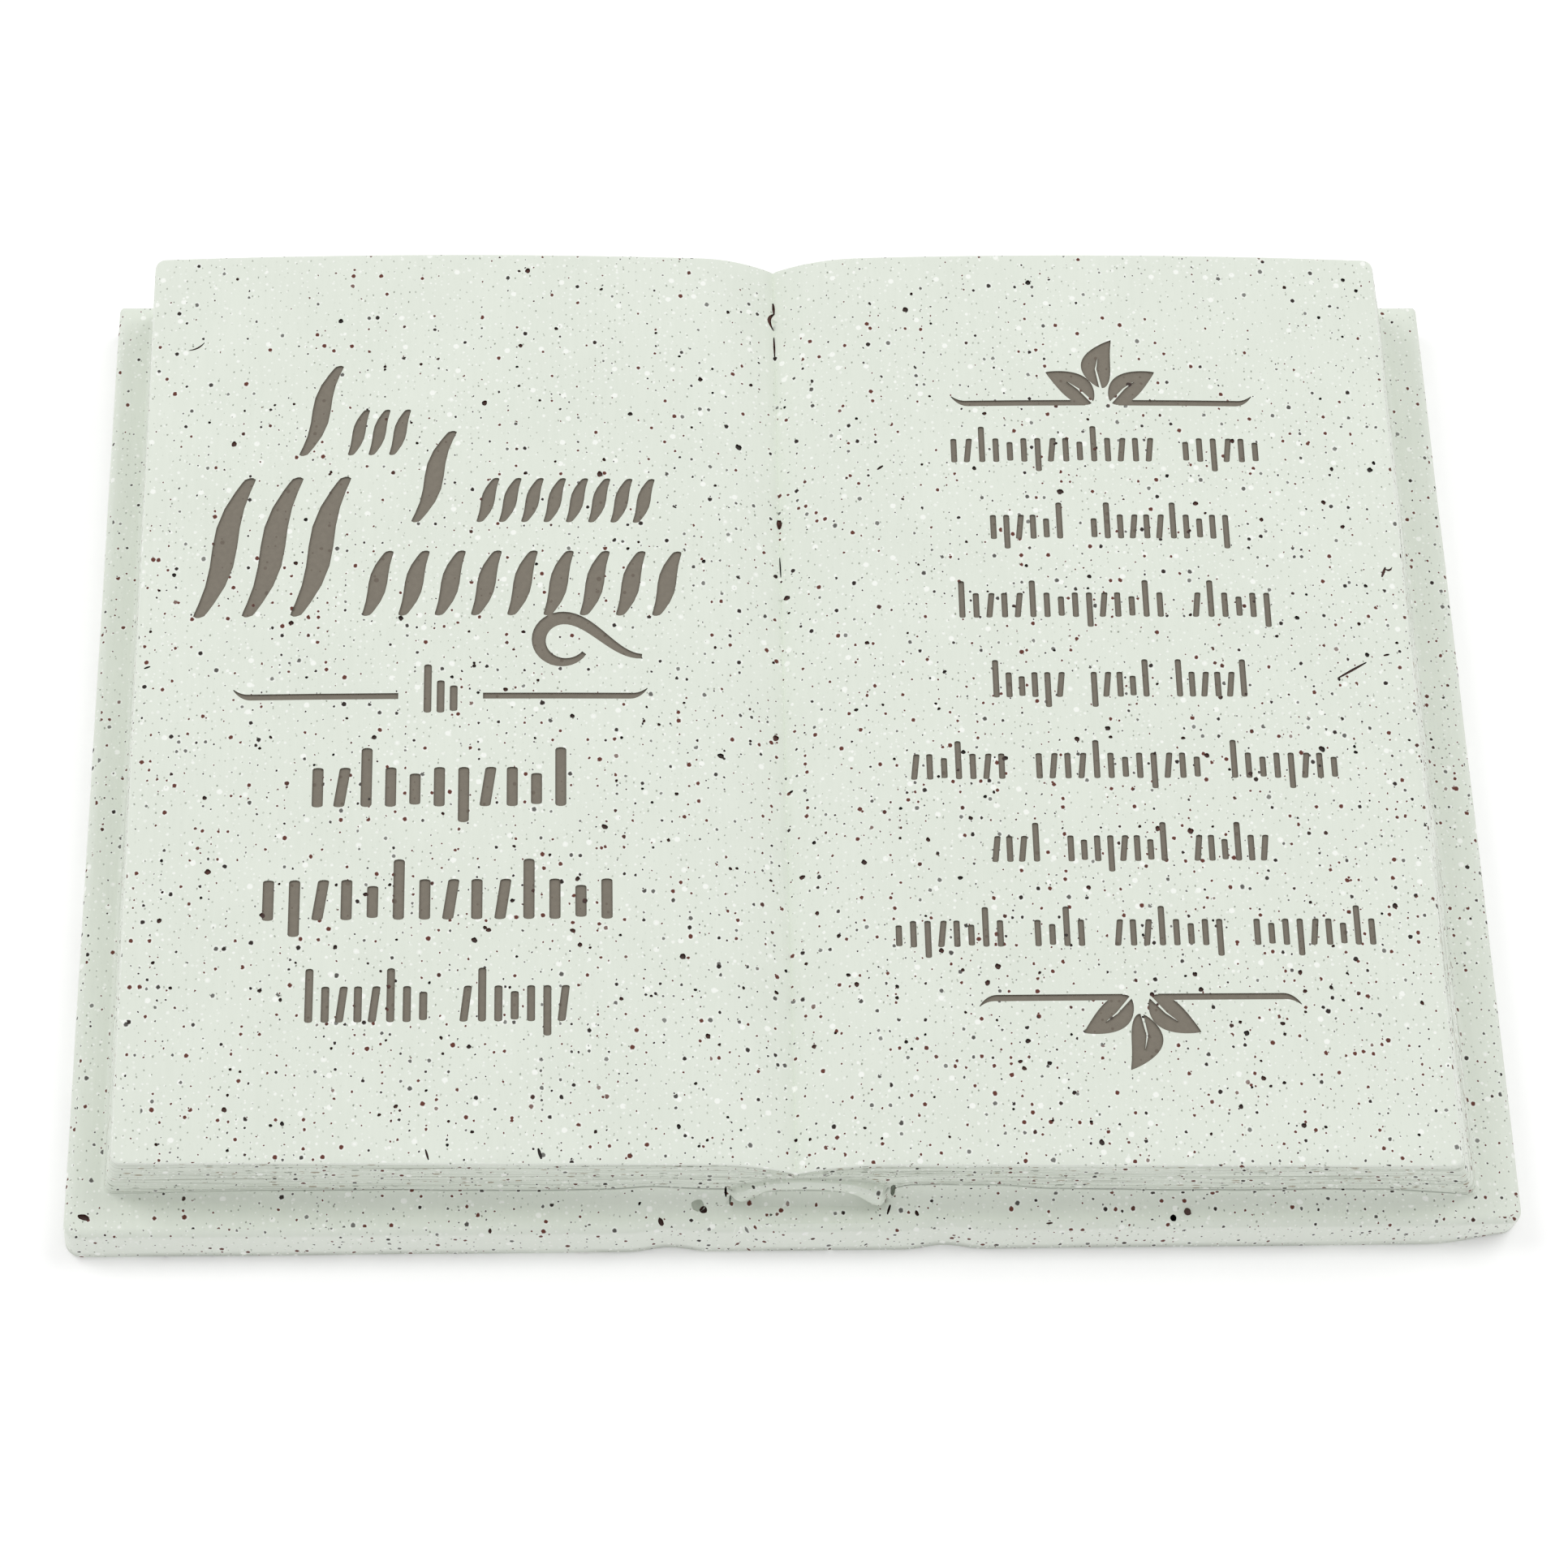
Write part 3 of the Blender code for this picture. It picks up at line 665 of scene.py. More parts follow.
def pageRing(lean, inset):
    # the block at the top of its walls (lean 0) or at their foot (lean 1)
    return ring(pageLeft - lean * pages["leanLeft"] + inset, pageRight + lean * pages["leanRight"] - inset,
                pageFront - lean * pages["leanFront"] + inset, pageBack + lean * pages["leanBack"] - inset,
                pages["corner"], pages["corner"], 1.0, 0.0)


def cornerAngle(station):
    kind, value = station
    return math.radians((180, 270, 0, 90)[int(kind[-1])] + 90 * value)


def ringPlace(station, at):
    kind, value = station
    corners = at["corners"]
    if kind.startswith("corner"):
        number = int(kind[-1])
        sideX = (-1, 1, 1, -1)[number]
        sideY = (-1, -1, 1, 1)[number]
        radius = corners[number]
        angle = cornerAngle(station)
        edgeX = at["left"] if sideX < 0 else at["right"]
        edgeY = at["front"] if sideY < 0 else at["back"]
        x = edgeX - sideX * radius + radius * math.cos(angle)
        y = edgeY - sideY * radius + radius * math.sin(angle)
        if sideY < 0:
            y += at["skew"] * frontShift(x)
        return x, y
    if kind in ("front", "back"):
        leftCorner, rightCorner = (corners[0], corners[1]) if kind == "front" else (corners[3], corners[2])
        leftShift = at["left"] + leftCorner - pageLeft - pages["corner"]
        rightShift = at["right"] - rightCorner - pageRight + pages["corner"]
        still = stationPlan["still"]
        x = (value + leftShift * ease((-still - value) / stationPlan["easeLeft"])
             + rightShift * ease((value - still) / stationPlan["easeRight"]))
        if kind == "front":
            return x, at["front"] + at["skew"] * frontShift(x) + at["dip"] * hingeDip(x)
        return x, at["back"] - at["dip"] * cover["backDip"] * hingeDip(x)
    leftSide = kind == "left"
    low = at["front"] + (corners[0] if leftSide else corners[1])
    high = at["back"] - (corners[3] if leftSide else corners[2])
    low += at["skew"] * frontShift(pageLeft if leftSide else pageRight)
    share = (value - pageFront - pages["corner"]) / (pageDepth - 2 * pages["corner"])
    return (at["left"] if leftSide else at["right"]), blend(low, high, share)


def facing(station):
    kind = station[0]
    if kind.startswith("corner"):
        angle = cornerAngle(station)
        return Vector((math.cos(angle), math.sin(angle)))
    return Vector({"front": (0, -1), "right": (1, 0), "back": (0, 1), "left": (-1, 0)}[kind])


def wallPoint(station, height, proud):
    # a point on the wall of the block, at a height over the cover
    topX, topY = ringPlace(station, pageRing(0.0, 0.0))
    footX, footY = ringPlace(station, pageRing(1.0, 0.0))
    full = pageTop(topX, topY) - cover["thickness"]
    share = height / full
    out = facing(station)
    return Vector((blend(footX, topX, share) + out.x * proud, blend(footY, topY, share) + out.y * proud,
                   cover["thickness"] + height))


def archLines(station):
    # top and foot of the band over the cover at a station, and how much of it shows there
    kind, x = station
    if kind not in ("front", "back"):
        return 0.0, 0.0, 0.0
    if kind == "front":
        top = through(frontLines["bandTop"], x * 1000) / 1000
        foot = through(frontLines["bandFoot"], x * 1000) / 1000
        near = ease((x - spine["left"]) / spine["fade"]) * ease((spine["right"] - x) / spine["fade"])
        return top, min(foot, top - 0.0002), near
    inner = spine["archWidth"] - 2 * spine["lining"]
    top = archRise(x, spine["archWidth"], spine["archHeight"])
    foot = archRise(x, inner, spine["archHeight"] - spine["lining"])
    return top, foot, ease((top - 0.0006) / 0.0012)


footFillet = {
    "wave": 0.00025,
    "mostReach": 0.0030,
    "roomShare": 0.85,        # of the flat ledge in front of the foot
}


def footRise(station):
    # height and reach of the fillet at the foot of the block
    kind, value = station
    if kind == "front":
        rise = through(frontLines["foot"], value * 1000) / 1000
        rise += footFillet["wave"] * noise.noise(Vector((value * 210, 3.3, 0.7)))
        room = (frontShift(value) + pages["ledgeFront"] - cover["edgeRadius"] - cover["draft"]
                - hingeDip(value))
        return rise, min(rise * 1.1, footFillet["mostReach"], footFillet["roomShare"] * room)
    if kind == "corner0":
        return 0.0004, 0.0005
    if kind in ("back", "corner2", "corner3"):
        return 0.0003, 0.0001
    return 0.0005, 0.0005


def hollowDip(x, y):
    half = spine["archWidth"] / 2
    across = (x - spine["x"]) / half
    foot = pageFront + frontShift(x) - pages["leanFront"] if y < 0 else pageBack + pages["leanBack"]
    away = abs(y - foot) / spine["hollowReach"]
    return spine["hollowDip"] * ease(1.5 * (1 - across * across)) * ease(1.25 * (1 - away))


def footProfile(station):
    # down the foot of the wall: how far out of the wall, and the height over the cover
    rise, reach = footRise(station)
    groove = pages["footGroove"] * min(1.0, rise / 0.002)
    fillet = [(0.0, rise), (-groove, rise - 0.4 * groove)]
    for n in range(10):
        angle = math.pi / 2 * n / 9
        out = 0.4 * groove + reach * (1 - math.cos(angle))
        fillet.append((out, (rise - groove) * (1 - math.sin(angle))))
    top, foot, near = archLines(station)
    if near <= 0:
        return fillet
    proud = spine["backProud"]
    if station[0] == "front":
        proud = through(frontLines["bandProud"], station[1] * 1000) / 1000
    arch = [(proud * out, blend(foot, top, share)) for out, share in
            ((0.0, 1.0), (0.72, 0.99), (1.0, 0.86), (1.06, 0.5), (1.0, 0.12), (0.66, 0.0), (-0.4, 0.03))]
    half = (spine["right"] - spine["left"]) / 2
    across = (station[1] - (spine["right"] + spine["left"]) / 2) / half
    for share in (0.8, 0.55, 0.3, 0.1, 0.0):
        depth = spine["hollowDepth"] * math.sqrt(max(0.0, (1 - across * across) * (1 - share * share)))
        arch.append((spine["hollowFill"] * (1 - share) ** 2 - depth, foot * share))
    return [(blend(a, c, near), blend(b, d, near)) for (a, b), (c, d) in zip(fillet, arch)]


def rounding(radius, angles):
    # the way in and the way down at steps round an edge
    turns = [math.radians(angle) for angle in angles]
    return [(radius * (1 - math.sin(turn)), radius * (1 - math.cos(turn))) for turn in turns]


def blockRings(places):
    rings = []
    radius = pages["edgeRadius"]
    for inset, drop in rounding(radius, (0, 30, 60, 90)):
        level = []
        for station in places:
            x, y = ringPlace(station, pageRing(0.0, inset))
            level.append(Vector((x, y, pageTop(x, y) - drop)))
        rings.append(level)
    profiles = [footProfile(station) for station in places]
    for n in range(pages["sheets"]):
        middle = (n + 0.62 + 0.22 * noise.noise(Vector((n * 3.7, 2.1, 0.4)))) / pages["sheets"]
        strength = 0.55 + 0.9 * abs(noise.noise(Vector((n * 5.3, 7.7, 1.9))))
        for side, sink in ((-0.34, 0.0), (0.0, 1.0), (0.16, 0.0)):
            share = middle + side / pages["sheets"]
            level = []
            for station, profile in zip(places, profiles):
                topX, topY = ringPlace(station, pageRing(0.0, 0.0))
                low = profile[0][1] + 0.0002
                high = pageTop(topX, topY) - cover["thickness"] - radius
                height = blend(high, low, share)
                patch = noise.noise(Vector((topX * 38, topY * 38, n * 2.3)))
                cut = pages["sheetLine"] * sink * strength * (0.35 + 0.65 * ease(0.5 + 1.4 * patch))
                wobble = 0.00006 * noise.noise(Vector((topX * 90, topY * 90, n * 1.3 + side)))
                level.append(wallPoint(station, height, wobble - cut))
            rings.append(level)
    for n in range(len(profiles[0])):
        level = []
        for station, profile in zip(places, profiles):
            out, height = profile[n]
            point = wallPoint(station, height, out)
            point.z -= hollowDip(point.x, point.y) * archLines(station)[2] * ease((n - 6) / 4)
            level.append(point)
        rings.append(level)
    return rings


def coverRings(places, foot):
    rings = []
    outer = coverRing(cover["draft"] + cover["edgeRadius"])
    steps = cover["ledgeSteps"]
    for n in range(1, steps + 1):
        share = (n / steps) ** 1.35
        level = []
        for station, start in zip(places, foot):
            endX, endY = ringPlace(station, outer)
            x, y = blend(start.x, endX, share), blend(start.y, endY, share)
            near = archLines(station)[2]
            level.append(Vector((x, y, cover["thickness"] - hollowDip(x, y) * near)))
        rings.append(level)
    top = cover["thickness"]
    edge, draft, footRadius = cover["edgeRadius"], cover["draft"], cover["footRadius"]
    levels = [(draft + inward, top - down) for inward, down in rounding(edge, (15, 30, 45, 60, 75, 90))]
    levels += [(draft * share, blend(footRadius, top - edge, share)) for share in (0.75, 0.5, 0.25, 0.0)]
    levels += [(down, inward) for inward, down in rounding(footRadius, (30, 60, 90))]
    ripple = 0.00005
    for inset, z in levels:
        at = coverRing(inset)
        level = []
        for station in places:
            x, y = ringPlace(station, at)
            y = blend(y, wornFoot(x, y), 1 - z / top)
            out = facing(station)
            wave = ripple * noise.noise(Vector((x * 70, y * 70, z * 150))) - ripple
            level.append(Vector((x + out.x * wave, y + out.y * wave, z)))
        rings.append(level)
    return rings


def wornFoot(x, y):
    if y > 0:
        return y
    return y + cover["wornDepth"] * ease((x - halfWidth + cover["wornReach"]) / cover["wornReach"]) ** 1.4


def finishFace(face, layout, finish):
    face.material_index = finish
    for loop in face.loops:
        loop[layout].uv = loop.vert.co.xy


def pageSurface(bm, layout, rim, outlines, kinds):
    # fills the rim with triangles on the pages and sinks the outlines into them, each with its finish
    points = [(v.co.x, v.co.y) for v in rim]
    faces = [list(range(len(points)))]
    spacing = pages["spacing"]
    columns = []
    x = pageLeft + 0.6 * spacing
    while x < pageRight - 0.5 * spacing:
        if abs(x - gutter["x"]) > 0.001:
            columns.append(x)
        near = min(abs(x - gutter["x"]) / 0.012, 1.0)
        x += spacing * blend(0.35, 1.0, near)
    columns += [gutter["x"] + offset for offset in (-gutter["creaseReach"], 0.0, gutter["creaseReach"])]
    rows = round(pageDepth / spacing)
    inner = [blend(pageFront, pageBack, (n + 0.5) / rows) for n in range(rows)]
    for x in columns:
        points += [(x, y) for y in inner]
    for outline in outlines:
        faces.append(list(range(len(points), len(points) + len(outline))))
        points += outline
    closest = 0.000002
    found = delaunay_2d_cdt([Vector(p) for p in points], [], faces, 1, closest)
    flat, _, triangles, origins, _, owners = found
    level, floor, edges = {}, {}, {}
    place = {origin: n for n, merged in enumerate(origins) for origin in merged}
    for n, vert in enumerate(rim):
        level[place[n]] = vert
    for triangle, owner in zip(triangles, owners):
        finish = max([kinds[number - 1] for number in owner if number > 0], default=0)
        heights = floor if finish else level
        for n in triangle:
            if n not in heights:
                x, y = flat[n]
                sunk = inscription["depth"] if finish else 0.0
                heights[n] = bm.verts.new((x, y, pageTop(x, y) - sunk))
        finishFace(bm.faces.new([heights[n] for n in triangle]), layout, finish)
        for a, b in zip(triangle, triangle[1:] + triangle[:1]):
            edges[a, b] = finish
    for (a, b), finish in edges.items():
        if finish and edges.get((b, a)) == 0:
            finishFace(bm.faces.new((floor[b], floor[a], level[a], level[b])), layout, finish)


# layers on the skin for the stone finish: the walls of the block, the right wall made paler in patches,
# painted shade in the groove at the foot of the block, under the band and along the foot of the cover, and
# a painted highlight on the face of the cover and the upper edge of the pages
skinLayers = ("wall", "worn", "seam", "edge")


def buildSkin():
    # walls, foot, ledge, cover and underside. Texture places run in metres round the skin and down it
    places = stations()
    rings = blockRings(places)
    foot = 4 + 3 * pages["sheets"]
    rings += coverRings(places, rings[-1])
    bm = bmesh.new()
    layout = bm.loops.layers.uv.new("skin")
    for name in skinLayers:
        bm.verts.layers.float.new(name)
    wall, worn, seam, edge = (bm.verts.layers.float[name] for name in skinLayers)
    skins = [[bm.verts.new(point) for point in level] for level in rings]
    # the walls of the block; the right one is marked to be made paler in the stone finish
    for number in range(3, foot):
        for vert, (kind, _) in zip(skins[number], places):
            vert[wall] = 1.0
            vert[worn] = 1.0 if kind == "right" else 0.0
    # painted shade in the groove at the foot of the walls of the block, and under the band
    for vert, under, station in zip(skins[foot + 1], skins[foot + 7], places):
        near = archLines(station)[2]
        vert[seam] = (1 - near) * (1.3 if station[0] == "front" else 0.3)
        under[seam] = 1.5 * near
    end = len(rings)
    # a painted highlight on the face of the cover and on the upper edge of the pages, and painted shade
    # along the foot of the cover
    touches = (
        (range(end - 9, end - 1), edge, 0.6),      # face of the cover
        (range(end - 4, end), seam, 0.6),          # its foot
        (range(1, 4), edge, 0.5),                  # upper edge of the pages
    )
    for numbers, layer, amount in touches:
        for number in numbers:
            for vert in skins[number]:
                vert[layer] = amount
    count = len(places)
    ledge = range(foot + 8, foot + 12 + cover["ledgeSteps"])
    around = []
    for level in (rings[0], rings[-1]):
        lengths = [0.0]
        for n in range(count):
            lengths.append(lengths[-1] + (level[n] - level[(n + 1) % count]).length)
        around.append(lengths)
    down = [[0.2] * count]
    for upper, lower in zip(rings, rings[1:]):
        down.append([down[-1][n] + (upper[n] - lower[n]).length for n in range(count)])
    for k in range(len(rings) - 1):
        wayRound = around[0 if k < ledge[0] else 1]
        for n in range(count):
            m = (n + 1) % count
            face = bm.faces.new((skins[k + 1][n], skins[k + 1][m], skins[k][m], skins[k][n]))
            steps = ((k + 1, n), (k + 1, n + 1), (k, n + 1), (k, n))
            for loop, (ringNumber, step) in zip(face.loops, steps):
                if k in ledge:
                    loop[layout].uv = loop.vert.co.xy + Vector((0.0, 1.0))
                else:
                    loop[layout].uv = (wayRound[step], down[ringNumber][step % count])
    underside = bm.faces.new(reversed(skins[-1]))
    for loop in underside.loops:
        loop[layout].uv = (loop.vert.co.x, loop.vert.co.y + 0.6)
    print("skin:", count, "stations,", len(rings), "rings")
    return bm, layout, skins[0]


# Bubble pits, knocks and slits in millimetres: place, the three radii, turn, and 2 for a dark inside.
# About half lie where the photo has one, the others are placed one by one

pits = (
    ((-12.3, -65.2, 6.35), (0.85, 0.95, 0.75), 0.5, 0),
    ((-11.6, -65.9, 6.3), (0.5, 0.45, 0.5), 0.2, 2),
    ((-3.4, -66.5, 5.6), (0.42, 0.70, 0.4), 0.1, 0),
    ((4.1, -68.9, 5.9), (0.50, 0.45, 0.3), 0.0, 0),
    ((-87.1, -66.1, 6.2), (0.80, 0.38, 0.45), -0.3, 2),
    ((-19.4, -65.0, 6.4), (0.30, 0.48, 0.5), -0.3, 2),
    ((-16.8, -67.4, 6.2), (0.34, 0.60, 0.5), 0.4, 2),
    ((50.6, -64.6, 7.3), (0.60, 0.42, 0.6), 0.5, 2),
    ((46.2, -67.5, 6.2), (0.42, 0.45, 0.4), 0.0, 2),
    ((48.0, -66.7, 6.2), (0.46, 0.50, 0.4), 0.4, 2),
    ((14.6, -66.6, 6.3), (0.24, 0.38, 0.4), 0.4, 2),
    ((-75.1, -63.9, 6.7), (0.42, 0.30, 0.5), 0.6, 2),
    ((30.9, -68.0, 6.2), (0.50, 0.14, 0.3), 0.1, 2),
    ((-35.6, -68.4, 6.0), (0.28, 0.36, 0.4), 0.0, 0),
    ((-37.7, -68.4, 6.0), (0.26, 0.42, 0.4), 0.0, 2),
    ((11.7, -63.8, 8.3), (0.36, 1.20, 1.6), -0.15, 0),
    ((12.0, -63.6, 9.4), (0.30, 0.40, 0.3), 0.0, 2),
    ((-8.9, -64.0, 7.9), (0.16, 0.80, 1.2), 0.1, 2),
    ((-8.3, -64.6, 6.9), (0.12, 0.90, 0.9), -0.1, 0),
    ((-7.0, -64.9, 7.7), (0.75, 0.18, 0.22), 0.1, 2),
    ((11.2, -66.0, 6.3), (0.16, 0.80, 0.5), -0.35, 2),
)


def cutPits(casting, stone):
    ball = bmesh.new()
    bmesh.ops.create_icosphere(ball, subdivisions=2, radius=1.0)
    for vert in ball.verts:
        vert.co *= 1 + 0.18 * noise.noise(vert.co * 1.7)
    mesh = bpy.data.meshes.new("pit")
    facesEach = len(ball.faces)
    ball.to_mesh(mesh)
    ball.free()
    cutter = setOnPoints("pits", [mesh], [[v / 1000 for v in place] for place, _, _, _ in pits],
                         [[v / 1000 for v in radii] for _, radii, _, _ in pits],
                         [(0.0, 0.0, turn) for _, _, turn, _ in pits], [0] * len(pits), stone)
    for n, face in enumerate(cutter.data.polygons):
        face.material_index = pits[n // facesEach][3]
    cut = casting.modifiers.new("pits", "BOOLEAN")
    cut.operation = "DIFFERENCE"
    cut.solver = "EXACT"
    cut.use_self = True
    cut.object = cutter
    settled(casting)
    bpy.data.objects.remove(cutter, do_unlink=True)
    print("pits cut:", len(pits))


def buildCasting(stone, engraved, grain):
    bm, layout, rim = buildSkin()
    strokes = outlinesOn("strokes", strokeShapes, strokePoints(), engraved) + ornamentOutlines()
    chips = outlinesOn("chips", grainShapes, grainPoints(), grain)
    pageSurface(bm, layout, rim, strokes + chips, [1] * len(strokes) + [2] * len(chips))
    bmesh.ops.recalc_face_normals(bm, faces=bm.faces)
    mesh = bpy.data.meshes.new("bookCasting")
    bm.to_mesh(mesh)
    bm.free()
    for material in (stone, engraved, grain):
        mesh.materials.append(material)
    casting = bpy.data.objects.new("bookCasting", mesh)
    bpy.context.scene.collection.objects.link(casting)
    cutPits(casting, stone)
    casting.data.shade_smooth()
    casting.data.set_sharp_from_angle(angle=math.radians(38))
    print("casting:", sum(len(face.vertices) - 2 for face in casting.data.polygons), "triangles")
    return casting


# Finishes

class Shade:
    # wraps a socket, so that finishes are written as sums
    def __init__(self, tree, socket):
        self.tree = tree
        self.socket = socket

    def math(self, operation, *others):
        node = self.tree.nodes.new("ShaderNodeMath")
        node.operation = operation
        for slot, value in zip(node.inputs, (self,) + others):
            feed(self.tree, slot, value)
        return Shade(self.tree, node.outputs[0])

    def __add__(self, other):
        return self.math("ADD", other)

    __radd__ = __add__

    def __mul__(self, other):
        return self.math("MULTIPLY", other)

    __rmul__ = __mul__

    def __sub__(self, other):
        return self.math("SUBTRACT", other)

    def __rsub__(self, other):
        return (self * -1.0) + other

    def __truediv__(self, other):
        return self.math("DIVIDE", other)

    def over(self, other):
        return self.math("MAXIMUM", other)

    def range(self, low, high, toLow=0.0, toHigh=1.0):
        return nodeOf(self.tree, "ShaderNodeMapRange", {"clamp": True},
                      {"Value": self, "From Min": low, "From Max": high, "To Min": toLow, "To Max": toHigh})


def feed(tree, slot, value):
    if isinstance(value, Shade):
        tree.links.new(value.socket, slot)
    elif hasattr(slot.default_value, "__len__") and len(slot.default_value) == 4 and len(value) == 3:
        slot.default_value = (*value, 1.0)
    else:
        slot.default_value = value


def nodeOf(tree, kind, settings, inputs, output=0):
    node = tree.nodes.new(kind)
    for name, value in settings.items():
        setattr(node, name, value)
    for name, value in inputs.items():
        feed(tree, node.inputs[name], value)
    return Shade(tree, node.outputs[output])


def mixColour(tree, share, a, b):
    node = tree.nodes.new("ShaderNodeMix")
    node.data_type = "RGBA"
    feed(tree, node.inputs[0], share)
    feed(tree, node.inputs[6], a)
    feed(tree, node.inputs[7], b)
    return Shade(tree, node.outputs[2])


stoneLook = {
    "pale": (0.780, 0.826, 0.742),
    "shadow": (0.745, 0.792, 0.707),
    "white": (0.93, 0.95, 0.90),
    "black": (0.020, 0.012, 0.009),
    "brown": (0.120, 0.030, 0.018),
    "grey": (0.25, 0.27, 0.22),
    "line": (0.50, 0.53, 0.46),
    "rust": (0.26, 0.17, 0.09),
    # colour of the painted shade at the feet and under the band
    "seam": (0.20, 0.22, 0.18),
    "engraved": (0.222, 0.198, 0.160),
    "roughness": 0.62,
}


speckCells = {
    "dark": 0.00115,
    "bigDark": 0.0036,
    "fleck": 0.0016,
    "fine": 0.00095,
    "pale": 0.0009,
}


def speckles(tree, place, cell, offset, stretch=1.0):
    # one speck to a cell: the way from its middle, in metres, and three numbers of its own
    moved = nodeOf(tree, "ShaderNodeMapping", {}, {"Vector": place, "Location": (offset, offset * 0.7, 0.0),
                                                   "Scale": (1.0, stretch, 1.0)})
    node = tree.nodes.new("ShaderNodeTexVoronoi")
    node.voronoi_dimensions = "2D"
    node.inputs["Scale"].default_value = 1 / cell
    feed(tree, node.inputs["Vector"], moved)
    split = tree.nodes.new("ShaderNodeSeparateColor")
    tree.links.new(node.outputs["Color"], split.inputs[0])
    return Shade(tree, node.outputs["Distance"]) * cell, *(Shade(tree, split.outputs[n]) for n in range(3))


def newFinish(name):
    material = bpy.data.materials.new(name)
    material.use_nodes = True
    tree = material.node_tree
    flat = nodeOf(tree, "ShaderNodeUVMap", {"uv_map": "skin"}, {})
    return material, tree, tree.nodes["Principled BSDF"], flat


def flatNoise(tree, place, scale, detail, roughness=0.5, output=0):
    inputs = {"Vector": place, "Scale": scale, "Detail": detail, "Roughness": roughness}
    return nodeOf(tree, "ShaderNodeTexNoise", {"noise_dimensions": "2D"}, inputs, output)


def darkSpecks(tree, place, density):
    # the common dark dots and the rarer big ones, with how brown each is, and a pale ring round both
    way, lot, size, tone = speckles(tree, place, speckCells["dark"], 0.105, 0.92)
    reach = way / (size * size * size * 0.00019 + 0.00010)
    here = lot.math("LESS_THAN", density * 0.28)
    bigWay, bigLot, bigSize, bigTone = speckles(tree, place, speckCells["bigDark"], 0.161)
    bigReach = bigWay / (bigSize * 0.00016 + 0.00017)
    bigHere = bigLot.math("LESS_THAN", density * 0.14)
    small = reach.range(1.2, 0.85) * here * tone.range(0.0, 0.4, 0.75, 1.0)
    big = bigReach.range(1.15, 0.85) * bigHere
    ring = (reach.range(2.0, 1.35) * here).over(bigReach.range(1.7, 1.2) * bigHere)
    blotHere = bigLot.math("GREATER_THAN", 0.62)
    blot = bigWay.range(0.00042, 0.00030) * blotHere * bigSize.range(0.35, 0.5)
    blot = blot.over(bigWay.range(0.00024, 0.00016) * blotHere)
    brown = (tone.range(0.55, 0.62) * here).over(bigTone.range(0.25, 0.4) * bigHere)
    return small.over(big), brown, ring, blot


